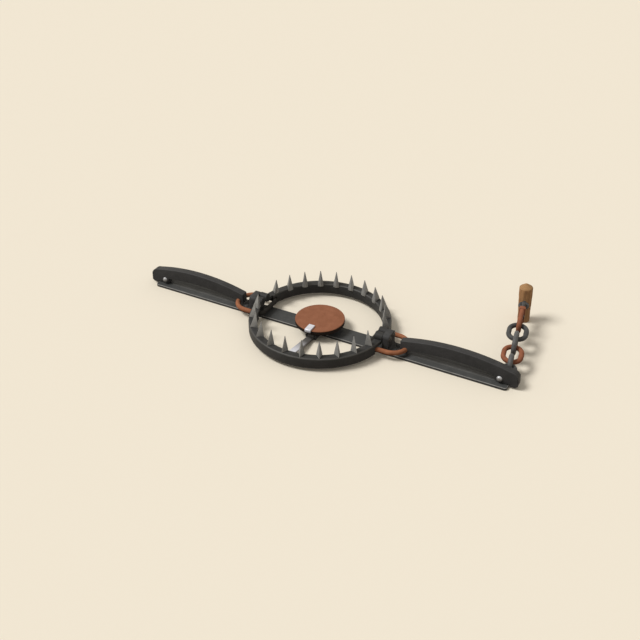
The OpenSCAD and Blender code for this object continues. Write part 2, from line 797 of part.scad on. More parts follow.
// Strap with its hinge block and the finger that holds up the tail of the dog
module pan_strap() {
    color(bright_steel) difference() {
        union() {
            end_plate(-strap_width / 2, strap_width) strap_outline();
            translate([-stem_half, stem_front, finger_bottom])
                cube([2 * stem_half, stem_back - stem_front, strap_bottom + strap_thickness / 2 - finger_bottom]);
            translate([-finger_half, finger_tip, finger_bottom])
                cube([2 * finger_half, stem_front - finger_tip, finger_depth]);
        }
        translate([0, pan_hinge_y, pan_hinge_z]) rod_x(-stem_half - past, stem_half + past, hinge_r + running_fit);
        for (y = pan_rivet_y) translate([0, y, strap_bottom - past])
            cylinder(h = strap_thickness + 2 * past, r = pan_rivet_r + seat_fit);
    }
}

module pan_rivets() {
    color(rust_brown) for (y = pan_rivet_y) translate([0, y, strap_bottom]) {
        cylinder(h = pan_top - strap_bottom, r = pan_rivet_r);
        mirror([0, 0, 1]) domed_head(pan_rivet_r * 1.5, 1.4);
    }
}

// Dog: a flat strip from the front jaw to its hinge, with a short raised tail under the pan
module dog() {
    bevel = dog_thickness / 2;
    heel_top = dog_z + 0.2;
    color(bright_steel) difference() {
        union() {
            end_plate(-dog_width / 2, dog_width) polygon([
                [dog_nose, dog_nose_height - bevel], [dog_nose + bevel, dog_nose_height],
                [dog_y - dog_boss, heel_top], [dog_y, heel_top], [dog_y, heel_top - dog_thickness],
                [dog_y - dog_boss, heel_top - dog_thickness], [dog_nose, dog_nose_height - dog_thickness]
            ]);
            end_plate(-dog_width / 2, dog_width) polygon([
                [dog_y, dog_z], [dog_y - dog_boss / 2, dog_z + dog_boss / 2],
                [tail_tip - 8, tail_bottom + tail_depth], [tail_tip, tail_bottom + tail_depth],
                [tail_tip, tail_bottom], [tail_tip - 4, tail_bottom], [dog_y + dog_boss / 2, dog_z + dog_boss / 2]
            ]);
            translate([0, dog_y, dog_z]) rod_x(-dog_width / 2, dog_width / 2, dog_boss);
        }
        translate([0, dog_y, dog_z]) rod_x(-dog_width, dog_width, hinge_r + running_fit);
    }
}

// Oval chain link in the local X-Y plane, its length along Y
module oval_link() {
    straight = link_half - link_side;
    translate([0, straight, 0]) half_ring(link_side, link_r);
    translate([0, -straight, 0]) rotate([0, 0, 180]) half_ring(link_side, link_r);
    for (x = [-link_side, link_side]) translate([x, 0, 0]) rod_y(-straight, straight, link_r);
}

module heel_ring() {
    color(worn_iron) on_chain(ring_at) rotate([0, 90, 0])
        rotate_extrude() translate([ring_r, 0]) circle(link_r);
}

module chain_link_1() {
    color(rust_orange) on_chain(link_1_at) oval_link();
}

module chain_link_2() {
    color(worn_iron) on_chain(link_2_at) rotate([0, 90, 0]) oval_link();
}

module chain_link_3() {
    color(dark_iron) on_chain(link_3_at) oval_link();
}

// Swivel clevis: a bow of round bar closed by a drilled head
module swivel_clevis() {
    bow = clevis_at + clevis_side;
    color(rust_orange) difference() {
        union() {
            on_chain(bow) rotate([0, 90, 0]) rotate([0, 0, 180]) half_ring(clevis_side, link_r);
            on_chain(0) for (z = [-clevis_side, clevis_side]) translate([0, 0, z])
                rod_y(bow, clevis_head_at + clevis_head / 2, link_r);
            on_chain(0) intersection() {
                rod_y(clevis_head_at, clevis_head_at + clevis_head, clevis_head_r);
                translate([-clevis_cheek, clevis_head_at - past, -clevis_head_r - past])
                    cube([2 * clevis_cheek, clevis_head + 2 * past, 2 * clevis_head_r + 2 * past]);
            }
        }
        on_chain(0) rod_y(clevis_head_at - past, clevis_head_at + clevis_head + past, stem_r + running_fit);
    }
}

// Swivel eye: a ring on a stem that is headed inside the clevis
module swivel_eye() {
    color(dark_iron) {
        on_chain(swivel_at) rotate([0, 90, 0]) rotate_extrude() translate([swivel_ring, 0]) circle(swivel_r);
        on_chain(0) rod_y(clevis_head_at - side_gap - stem_head / 2, swivel_at - swivel_ring, stem_r);
        on_chain(0) rod_y(clevis_head_at - side_gap - stem_head, clevis_head_at - side_gap, stem_head_r);
    }
}

// Screw eye: a flat-lying ring on a shank that runs into the stake
module stake_eye_shape(grow) {
    on_chain(stake_eye_at) {
        rotate_extrude() translate([stake_eye_ring, 0]) circle(stake_eye_r + grow);
        rod_y(stake_eye_ring, stake_eye_ring + stake_shank + stake_eye_r, stake_eye_r + grow);
    }
}

module stake_eye() {
    color(dark_iron) stake_eye_shape(0);
}

// Round stake: tapered, bevelled at the hammered top, leaning a little and cut level at the ground
module stake() {
    foot = stake_foot_d / 2;
    top = stake_top_d / 2;
    below = 10;
    color(stake_wood) difference() {
        translate([stake_x, stake_y, 0]) intersection() {
            rotate([0, -stake_lean, 0]) rotate_extrude() polygon([
                [0, -below], [foot, -below], [foot, 0], [top, stake_height - stake_bevel],
                [top - stake_bevel, stake_height], [0, stake_height]
            ]);
            translate([-stake_height, -stake_height, 0]) cube(2 * stake_height);
        }
        stake_eye_shape(seat_fit);
    }
}

base_plate();
jaw_post(-1);  // left_jaw_post
jaw_post(1);  // right_jaw_post
post_rivets();
jaw_pins(-1);  // left_jaw_pins
jaw_pins(1);  // right_jaw_pins
heel_lug(-1);  // left_heel_lug
heel_lug(1);  // right_heel_lug
heel_pin(-1);  // left_heel_pin
heel_pin(1);  // right_heel_pin
trigger_bracket();
bracket_rivets();
bracket_pin(pan_hinge_y, pan_hinge_z);  // pan_hinge_pin
bracket_pin(dog_y, dog_z);  // dog_hinge_pin
front_jaw();
rear_jaw();
jaw_teeth(-1);  // front_jaw_teeth
jaw_teeth(1);  // rear_jaw_teeth
spring_arm(-1);  // left_spring_arm
spring_arm(1);  // right_spring_arm
spring_eye(-1);  // left_spring_eye
spring_eye(1);  // right_spring_eye
pan_disc();
pan_strap();
pan_rivets();
dog();
heel_eye();
heel_ring();
chain_link_1();
chain_link_2();
chain_link_3();
swivel_clevis();
swivel_eye();
stake();
stake_eye();
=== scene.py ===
"""Dresses the leghold trap: models its pieces, gives every piece its finish, and sets up the studio."""

import json
import logging
import math
from contextlib import contextmanager
from dataclasses import dataclass
from enum import Enum
from functools import lru_cache
from typing import Callable, Dict, Iterator, List, Optional, Sequence, Tuple

import bmesh
import bpy
from mathutils import Matrix, Vector


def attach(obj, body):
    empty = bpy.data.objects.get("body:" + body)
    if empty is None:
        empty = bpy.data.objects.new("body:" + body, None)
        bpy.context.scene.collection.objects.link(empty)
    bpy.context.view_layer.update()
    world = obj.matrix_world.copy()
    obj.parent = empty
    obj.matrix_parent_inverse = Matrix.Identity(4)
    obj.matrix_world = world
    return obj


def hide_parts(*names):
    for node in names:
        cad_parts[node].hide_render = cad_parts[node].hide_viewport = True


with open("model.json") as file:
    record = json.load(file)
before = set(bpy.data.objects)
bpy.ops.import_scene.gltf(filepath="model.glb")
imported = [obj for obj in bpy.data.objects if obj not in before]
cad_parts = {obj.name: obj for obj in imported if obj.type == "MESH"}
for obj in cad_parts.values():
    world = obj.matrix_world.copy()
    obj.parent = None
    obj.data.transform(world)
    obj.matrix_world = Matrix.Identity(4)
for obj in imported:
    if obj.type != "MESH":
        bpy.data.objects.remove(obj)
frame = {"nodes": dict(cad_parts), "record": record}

log = logging.getLogger("trap")

# Metres in a millimetre: the pieces' sizes are in millimetres, the studio's in metres.
MM = 0.001
# A face whose normal has more than this share of Z lies level.
LEVEL = 0.9
# Corners nearer to a place than this, in millimetres, count as being there.
NEAR = 0.1
# Corners nearer to each other than this, in millimetres, are one.
SAME = 0.01

Shade = Tuple[int, int, int]
Colour = Tuple[float, float, float, float]
Point = Tuple[float, float, float]
Test = Callable[[Vector, Vector], bool]
Node = bpy.types.Node
NodeTree = bpy.types.NodeTree
Socket = bpy.types.NodeSocket
Sockets = bpy.types.bpy_prop_collection


class Side(Enum):
    """Which half of the trap a piece belongs to, along the base bar."""

    LEFT = -1
    RIGHT = 1


class Row(Enum):
    """Which of the two jaws a piece belongs to."""

    FRONT = -1
    REAR = 1


class Lie(Enum):
    """How a chain link lies: flat across the chain or upright, in degrees."""

    FLAT = 0
    UPRIGHT = 90


def paint(shade: Shade) -> Colour:
    """Turns a display colour, 0 to 255, into the linear colour that shaders use."""

    def linear(value: int) -> float:
        """Undoes the display curve for one channel."""
        share = value / 255.0
        return share / 12.92 if share <= 0.04045 else ((share + 0.055) / 1.055) ** 2.4

    return (*map(linear, shade), 1.0)


# Finishes


class Tree:
    """Adds and links nodes in one node tree."""

    def __init__(self, tree: NodeTree) -> None:
        """Keeps the tree that nodes are added to."""
        self.tree = tree

    def add(self, kind: str, **values: object) -> Node:
        """Adds a node.

        Args:
            kind: The node's type.
            values: Settings of the node, or inputs named with underscores for spaces.

        Returns:
            The new node.
        """
        node = self.tree.nodes.new(kind)
        for key, value in values.items():
            if hasattr(node, key):
                setattr(node, key, value)
            else:
                self.feed(node.inputs[key.replace("_", " ")], value)
        return node

    def group(self, tree: NodeTree, place: Socket, **values: object) -> Sockets:
        """Adds a node group at the coordinates of a place, and returns its outputs."""
        return self.add("ShaderNodeGroup", node_tree=tree, Vector=place, **values).outputs

    def link(self, source: Socket, target: Socket) -> None:
        """Links an output to an input."""
        self.tree.links.new(source, target)

    def feed(self, target: Socket, value: object) -> None:
        """Gives an input its value, or links it to an output."""
        if isinstance(value, Socket):
            self.link(value, target)
        else:
            target.default_value = value

    def mix(self, factor: Socket, first: object, second: object) -> Socket:
        """Mixes two colours; the factor says how much of the second one shows."""
        node = self.add("ShaderNodeMix", data_type="RGBA", clamp_factor=True, Factor=factor)
        # Inputs 6 and 7 and output 2 of this node are those for colours.
        self.feed(node.inputs[6], first)
        self.feed(node.inputs[7], second)
        return node.outputs[2]

    def ramp(self, source: Socket, low: object, high: object) -> Socket:
        """Stretches a value so that low becomes 0 and high becomes 1."""
        node = self.add("ShaderNodeMapRange", clamp=True, Value=source, From_Min=low, From_Max=high)
        return node.outputs["Result"]

    def maths(self, how: str, first: object, second: object) -> Socket:
        """Adds a sum, product or other operation on two values and returns its output."""
        node = self.add("ShaderNodeMath", operation=how)
        for target, value in zip(node.inputs, (first, second)):
            self.feed(target, value)
        return node.outputs[0]

    def times(self, first: object, second: object) -> Socket:
        """Adds a product of two values and returns its output."""
        return self.maths("MULTIPLY", first, second)

    def plus(self, first: object, second: object) -> Socket:
        """Adds a sum of two values and returns its output."""
        return self.maths("ADD", first, second)

    def bump(self, shader: Node, height: Socket, strength: float, depth: float) -> None:
        """Gives a shader relief, its depth in millimetres."""
        bump = self.add("ShaderNodeBump", Strength=strength, Distance=depth * MM, Height=height)
        self.link(bump.outputs["Normal"], shader.inputs["Normal"])


class Effects:
    """Shader node groups that several finishes share, each built once."""

    @staticmethod
    def start(name: str, inputs: Dict[str, str], outputs: Dict[str, str]) -> Tuple[Tree, Sockets, Sockets]:
        """Starts a node group.

        Args:
            name: Name of the group.
            inputs: Socket name to kind (Color, Float or Vector).
            outputs: Socket name to kind.

        Returns:
            The group's tree, the sockets that it is given, and those that it makes.
        """
        nodes = Tree(bpy.data.node_groups.new(name, "ShaderNodeTree"))
        for way, sockets in (("INPUT", inputs), ("OUTPUT", outputs)):
            for label, kind in sockets.items():
                nodes.tree.interface.new_socket(label, in_out=way, socket_type=f"NodeSocket{kind}")
        return nodes, nodes.add("NodeGroupInput").outputs, nodes.add("NodeGroupOutput").inputs

    @staticmethod
    @lru_cache
    def mottle() -> NodeTree:
        """Uneven tone of forged metal: broad clouds, fine speckle and hammer marks."""
        nodes, given, made = Effects.start(
            "mottle",
            {"Vector": "Vector", "Dark": "Color", "Light": "Color", "Scale": "Float"},
            {"Color": "Color", "Cloud": "Float", "Height": "Float"},
        )
        broad = nodes.add("ShaderNodeTexNoise", Detail=5.0, Roughness=0.62)
        fine = nodes.add("ShaderNodeTexNoise", Detail=8.0, Roughness=0.7)
        marks = nodes.add("ShaderNodeTexVoronoi", feature="SMOOTH_F1", Smoothness=0.6)
        for texture, factor in ((broad, 1.0), (fine, 7.0), (marks, 2.2)):
            nodes.link(given["Vector"], texture.inputs["Vector"])
            nodes.link(nodes.times(given["Scale"], factor), texture.inputs["Scale"])
        cloud = nodes.ramp(broad.outputs["Fac"], 0.3, 0.7)
        speckle = nodes.ramp(fine.outputs["Fac"], 0.35, 0.68)
        both = nodes.plus(nodes.times(cloud, 0.65), nodes.times(speckle, 0.35))
        nodes.link(nodes.mix(both, given["Dark"], given["Light"]), made["Color"])
        nodes.link(both, made["Cloud"])
        dent = nodes.times(marks.outputs["Distance"], 0.8)
        nodes.link(nodes.plus(dent, nodes.times(speckle, 0.45)), made["Height"])
        return nodes.tree

    @staticmethod
    def patches(name: str, cover: str, start: float, fall: float, border: float, **noise: float) -> NodeTree:
        """Ragged patches where another colour shows.

        Args:
            name: Name of the group.
            cover: Name of the input that holds the colour of the patches.
            start: Noise value where patches start if their amount is 0.
            fall: How far an amount of 1 lowers that value.
            border: How far the noise rises across the border of a patch.
            noise: Settings of the noise.

        Returns:
            The group.
        """
        nodes, given, made = Effects.start(
            name,
            {"Vector": "Vector", "Color": "Color", cover: "Color", "Amount": "Float", "Scale": "Float"},
            {"Color": "Color", "Mask": "Float"},
        )
        patch = nodes.add("ShaderNodeTexNoise", Vector=given["Vector"], Scale=given["Scale"], **noise)
        low = nodes.maths("SUBTRACT", start, nodes.times(given["Amount"], fall))
        mask = nodes.ramp(patch.outputs["Fac"], low, nodes.plus(low, border))
        nodes.link(nodes.mix(mask, given["Color"], given[cover]), made["Color"])
        nodes.link(mask, made["Mask"])
        return nodes.tree

    @staticmethod
    @lru_cache
    def stain() -> NodeTree:
        """Patches of rust that come through a metal, with a ragged border."""
        return Effects.patches("stain", "Rust", 0.78, 0.5, 0.16, Detail=9.0, Roughness=0.66, Distortion=0.4)

    @staticmethod
    @lru_cache
    def scuff() -> NodeTree:
        """Bare metal that shows where a surface is rubbed."""
        return Effects.patches("scuff", "Bare", 0.85, 0.6, 0.22, Detail=7.0, Roughness=0.75)

    @staticmethod
    @lru_cache
    def grain() -> NodeTree:
        """Wood fibre that runs along Z, with cracks and darker bands."""
        nodes, given, made = Effects.start(
            "grain",
            {"Vector": "Vector", "Dark": "Color", "Light": "Color"},
            {"Color": "Color", "Height": "Float"},
        )
        stretch = nodes.add("ShaderNodeMapping", Vector=given["Vector"], Scale=(1.0, 1.0, 0.06))
        fibre = nodes.add("ShaderNodeTexNoise", Scale=420.0, Detail=6.0, Roughness=0.6)
        band = nodes.add("ShaderNodeTexNoise", Scale=110.0, Detail=3.0, Roughness=0.5)
        crack = nodes.add("ShaderNodeTexVoronoi", feature="DISTANCE_TO_EDGE", Scale=150.0)
        for texture in (fibre, band, crack):
            nodes.link(stretch.outputs["Vector"], texture.inputs["Vector"])
        split = nodes.ramp(crack.outputs["Distance"], 0.0, 0.07)
        fibres = nodes.times(nodes.ramp(fibre.outputs["Fac"], 0.3, 0.7), 0.5)
        bands = nodes.times(nodes.ramp(band.outputs["Fac"], 0.32, 0.68), 0.5)
        tone = nodes.plus(fibres, bands)
        shade = nodes.times(tone, nodes.plus(nodes.times(split, 0.55), 0.45))
        nodes.link(nodes.mix(shade, given["Dark"], given["Light"]), made["Color"])
        nodes.link(nodes.plus(nodes.times(split, 0.7), tone), made["Height"])
        return nodes.tree


@dataclass(frozen=True)
class Finish:
    """A surface.

    Attributes:
        name: Name of the material.
        dark: Darker tone.
        light: Lighter tone.
    """

    name: str
    dark: Shade
    light: Shade

    @lru_cache
    def build(self) -> bpy.types.Material:
        """Builds the material, once."""
        material = bpy.data.materials.new(self.name)
        material.use_nodes = True
        material.node_tree.nodes.clear()
        nodes = Tree(material.node_tree)
        shader = nodes.add("ShaderNodeBsdfPrincipled")
        nodes.link(shader.outputs["BSDF"], nodes.add("ShaderNodeOutputMaterial").inputs["Surface"])
        self.wire(nodes, shader, nodes.add("ShaderNodeTexCoord").outputs["Object"])
        return material

    def wire(self, nodes: Tree, shader: Node, place: Socket) -> None:
        """Adds the nodes that say what the surface looks like.

        Args:
            nodes: The material's tree.
            shader: Its shader.
            place: Output that holds the coordinates.
        """
        raise NotImplementedError


@dataclass(frozen=True)
class MetalFinish(Finish):
    """A metal surface: uneven tone, rust that comes through, rubbed bare places, and painted shade where it
    is given.

    Attributes:
        rust: Colour of the rust patches.
        bare: Colour of the rubbed places.
        rusting: How much rust shows, 0 to 1.
        rubbing: How much bare metal shows, 0 to 1.
        scale: Size of the pattern, in features per metre.
        metallic: Share of metal in the reflection.
        gloss: Strength of the plain reflection, where 0.5 is that of paint.
        rough: Roughness of the smoother places.
        rougher: Roughness of the rust.
        relief: Depth of the surface marks in millimetres.
        painted_shade: Colour of painted shade laid near the middle along one axis, towards the middle of the
            trap or low down, where shadow falls on the piece; or None for the same colour throughout.
        painted_shade_axis: Axis that the painted shade is measured along.
        painted_shade_from: Distance from the middle, in millimetres, where the painted shade starts to show.
        painted_shade_to: Distance from the middle, in millimetres, inside which it shows fully.
        ragged: How far the border of the painted shade wanders, in millimetres.
        grit: How much rougher the lighter tone is.
        rub_scale: Features of the rubbed places for each feature of the pattern.
        rust_scale: Features of the rust for each feature of the pattern.
    """

    rust: Shade
    bare: Shade
    rusting: float = 0.3
    rubbing: float = 0.2
    scale: float = 45.0
    metallic: float = 0.0
    gloss: float = 0.14
    rough: float = 0.5
    rougher: float = 0.8
    relief: float = 0.35
    painted_shade: Optional[Shade] = None
    painted_shade_axis: str = "X"
    painted_shade_from: float = 145.0
    painted_shade_to: float = 133.0
    ragged: float = 6.0
    grit: float = 0.12
    rub_scale: float = 2.6
    rust_scale: float = 0.55

    def wire(self, nodes: Tree, shader: Node, place: Socket) -> None:
        """Lays tone, rubbed places, rust and painted shade over each other."""
        shader.inputs["Specular IOR Level"].default_value = self.gloss
        tone = nodes.group(
            Effects.mottle(), place, Dark=paint(self.dark), Light=paint(self.light), Scale=self.scale
        )
        bare = nodes.group(
            Effects.scuff(), place, Color=tone["Color"], Bare=paint(self.bare),
            Amount=self.rubbing, Scale=self.scale * self.rub_scale,
        )
        rust = nodes.group(
            Effects.stain(), place, Color=bare["Color"], Rust=paint(self.rust),
            Amount=self.rusting, Scale=self.scale * self.rust_scale,
        )
        colour = rust["Color"]
        # Painted shade: darkens the part of the piece near the middle along one axis, where shadow falls on
        # it.
        if self.painted_shade:
            split = nodes.add("ShaderNodeSeparateXYZ", Vector=place)
            reach = nodes.maths("ABSOLUTE", split.outputs[self.painted_shade_axis], 0.0)
            border = nodes.maths("SUBTRACT", reach, nodes.times(tone["Cloud"], self.ragged * MM))
            share = nodes.ramp(border, self.painted_shade_from * MM, self.painted_shade_to * MM)
            colour = nodes.mix(share, colour, paint(self.painted_shade))
        nodes.link(colour, shader.inputs["Base Color"])
        dull = nodes.times(rust["Mask"], self.rougher - self.rough)
        grit = nodes.times(tone["Cloud"], self.grit)
        nodes.link(nodes.plus(nodes.plus(dull, grit), self.rough), shader.inputs["Roughness"])
        clean = nodes.maths("SUBTRACT", 1.0, rust["Mask"])
        nodes.link(nodes.times(clean, self.metallic), shader.inputs["Metallic"])
        nodes.bump(shader, tone["Height"], strength=0.6, depth=self.relief)


@dataclass(frozen=True)
class WoodFinish(Finish):
    """Bare weathered wood with fibre along Z.

    Attributes:
        relief: Depth of the fibres in millimetres.
    """

    relief: float = 0.6

    def wire(self, nodes: Tree, shader: Node, place: Socket) -> None:
        """Colours and roughens the surface with the fibre."""
        shader.inputs["Roughness"].default_value = 0.82
        grain = nodes.group(Effects.grain(), place, Dark=paint(self.dark), Light=paint(self.light))
        nodes.link(grain["Color"], shader.inputs["Base Color"])
        nodes.bump(shader, grain["Height"], strength=0.7, depth=self.relief)


@dataclass(frozen=True)
class EndGrainFinish(Finish):
    """The sawn end of a wooden stake, with year rings and pores.

    Attributes:
        middle: Middle of the rings in millimetres.
        ring: Distance between two rings in millimetres.
        relief: Depth of the rings in millimetres.
    """

    middle: Point
    ring: float = 2.4
    relief: float = 0.3

    def wire(self, nodes: Tree, shader: Node, place: Socket) -> None:
        """Lays rings and pores round the middle."""
        shader.inputs["Roughness"].default_value = 0.85
        shader.inputs["Specular IOR Level"].default_value = 0.2
        centred = nodes.add("ShaderNodeMapping", Vector=place, Location=[-v * MM for v in self.middle])
        # At a scale of 1 the rings of this texture are 0.314 m apart.
        rings = nodes.add(
            "ShaderNodeTexWave", wave_type="RINGS", rings_direction="Z",
            Scale=0.314 / (self.ring * MM), Distortion=1.6, Detail=2.0, Detail_Scale=1.2,
        )
        pores = nodes.add("ShaderNodeTexNoise", Scale=900.0, Detail=4.0)
        for texture in (rings, pores):
            nodes.link(centred.outputs["Vector"], texture.inputs["Vector"])
        share = nodes.times(rings.outputs["Fac"], nodes.ramp(pores.outputs["Fac"], 0.2, 0.6))
        nodes.link(nodes.mix(share, paint(self.dark), paint(self.light)), shader.inputs["Base Color"])
        nodes.bump(shader, share, strength=0.5, depth=self.relief)


class Finishes:
    """The finishes of the trap."""

    BASE = MetalFinish(
        "base iron", (61, 62, 61), (82, 82, 81), (80, 66, 55), (108, 107, 105),
        rusting=0.16, rubbing=0.2, scale=40.0,
    )
    # Partly rubbed wear, partly painted highlight: the bevels along the bar's edges are much paler than the
    # bar, standing for the light that they catch.
    BASE_EDGE = MetalFinish(
        "base edge", (122, 121, 118), (164, 162, 159), (96, 84, 74), (190, 188, 184),
        rusting=0.1, rubbing=0.45, scale=60.0, metallic=0.2, gloss=0.5, rough=0.4,
    )
    # Painted light: a paler top for the bar under the springs, which cancels the shadow that they cast on it.
    BASE_PAINTED_LIGHT = MetalFinish(
        "base iron sheltered", (82, 82, 80), (108, 107, 105), (98, 82, 70), (132, 131, 128),
        rusting=0.12, rubbing=0.25, scale=40.0,
    )
    JAW = MetalFinish(
        "jaw iron", (47, 47, 46), (68, 67, 66), (64, 54, 46), (90, 89, 87),
        rusting=0.16, rubbing=0.2, scale=48.0,
    )
    JAW_EDGE = MetalFinish(
        "jaw edge", (56, 56, 55), (82, 81, 79), (68, 58, 50), (108, 107, 105),
        rusting=0.16, rubbing=0.3, scale=60.0, metallic=0.2, gloss=0.3, rough=0.42,
    )
    SPRING = MetalFinish(
        "spring iron", (49, 49, 49), (70, 69, 69), (64, 55, 48), (90, 89, 88),
        rusting=0.14, rubbing=0.2, scale=42.0,
    )
    SPRING_EDGE = MetalFinish(
        "spring edge", (51, 51, 51), (73, 72, 72), (64, 55, 48), (94, 93, 92),
        rusting=0.14, rubbing=0.25, scale=60.0, gloss=0.18, rough=0.46,
    )
    TOOTH = MetalFinish(
        "tooth steel", (128, 127, 124), (164, 163, 158), (112, 96, 84), (190, 188, 184),
        rusting=0.1, rubbing=0.3, scale=80.0, metallic=0.1, gloss=0.35, rough=0.42,
    )
    TOOTH_EDGE = MetalFinish(
        "tooth edge", (140, 139, 136), (178, 176, 172), (116, 100, 88), (206, 204, 200),
        rusting=0.08, rubbing=0.4, scale=80.0, metallic=0.2, gloss=0.45, rough=0.38,
    )
    FITTING = MetalFinish(
        "fitting iron", (52, 52, 52), (74, 74, 74), (76, 60, 50), (98, 97, 95),
        rusting=0.2, rubbing=0.2, scale=70.0,
    )
    FITTING_EDGE = MetalFinish(
        "fitting edge", (64, 64, 63), (92, 91, 90), (80, 66, 55), (118, 117, 114),
        rusting=0.16, rubbing=0.35, scale=80.0, metallic=0.2, gloss=0.35, rough=0.42,
    )
    PIVOT = MetalFinish(
        "pivot steel", (58, 57, 56), (92, 91, 88), (80, 64, 52), (128, 126, 122),
        rusting=0.2, rubbing=0.3, scale=110.0, metallic=0.3, gloss=0.3, rough=0.42,
    )
    # Painted shadow: the dog darkens towards the middle of the trap along Y, where the pan's shadow falls on
    # it.
    DOG = MetalFinish(
        "dog steel", (204, 204, 212), (230, 230, 236), (176, 170, 166), (246, 246, 250),
        rusting=0.05, rubbing=0.4, scale=90.0, metallic=0.1, gloss=0.5, rough=0.34, relief=0.1,
        painted_shade=(96, 93, 90), painted_shade_axis="Y", painted_shade_from=112.0, painted_shade_to=62.0,
    )
    # Painted shade: the strap turns dark below 22 to 26 mm height, in the shade under the pan.
    STRAP = MetalFinish(
        "strap steel", (206, 206, 212), (232, 232, 238), (180, 174, 170), (248, 248, 250),
        rusting=0.05, rubbing=0.4, scale=90.0, metallic=0.1, gloss=0.5, rough=0.34, relief=0.1,
        painted_shade=(50, 46, 44), painted_shade_axis="Z", painted_shade_from=26.0, painted_shade_to=22.0,
    )
    # Painted shade: the pins darken below 14 to 20 mm height, standing for their shaded undersides.
    PIN = MetalFinish(
        "pin steel", (212, 212, 214), (238, 238, 240), (176, 170, 164), (250, 250, 251),
        rusting=0.05, rubbing=0.35, scale=140.0, gloss=1.0, rough=0.22, relief=0.1,
        painted_shade=(104, 103, 101), painted_shade_axis="Z", painted_shade_from=20.0, painted_shade_to=14.0,
    )
    PAN = MetalFinish(
        "pan rust", (130, 82, 58), (158, 105, 78), (112, 68, 47), (170, 118, 90),
        rusting=0.2, rubbing=0.25, scale=60.0, gloss=0.12, rough=0.75, rougher=0.92,
    )
    # Painted shade: the rim's sides are nearly black, standing for the shade at the pan's edge.
    PAN_RIM_PAINTED_SHADE = MetalFinish(
        "pan rim", (34, 28, 25), (56, 45, 39), (80, 52, 38), (70, 60, 53),
        rusting=0.2, rubbing=0.2, scale=70.0, gloss=0.12, rough=0.75, rougher=0.92,
    )
    # Painted shade: the eye bar turns dark inside 133 to 145 mm from the middle, where it lies in shade under
    # the jaw's neck and post.
    EYE = MetalFinish(
        "eye rust", (132, 82, 56), (172, 113, 80), (108, 65, 44), (188, 134, 98),
        rusting=0.22, rubbing=0.3, scale=90.0, gloss=0.16, rough=0.68, rougher=0.9, painted_shade=(46, 44, 41),
    )
    CHAIN_RUST = MetalFinish(
        "chain rust", (124, 75, 53), (164, 104, 75), (98, 60, 42), (180, 126, 96),
        rusting=0.24, rubbing=0.3, scale=100.0, gloss=0.16, rough=0.68, rougher=0.9,
    )
    CHAIN_GREY = MetalFinish(
        "chain grey", (74, 74, 74), (107, 107, 106), (90, 71, 59), (136, 135, 133),
        rusting=0.16, rubbing=0.3, scale=100.0, metallic=0.1, gloss=0.3,
    )
    CHAIN_DARK = MetalFinish(
        "chain dark", (58, 58, 58), (86, 86, 85), (86, 68, 57), (118, 117, 115),
        rusting=0.18, rubbing=0.25, scale=100.0, gloss=0.22,
    )
    STAKE = WoodFinish("stake wood", (142, 102, 67), (204, 154, 104))
    STAKE_TOP = EndGrainFinish("stake end grain", (152, 114, 75), (190, 150, 106), (365.2, 236.3, 0.0))


# Modelling


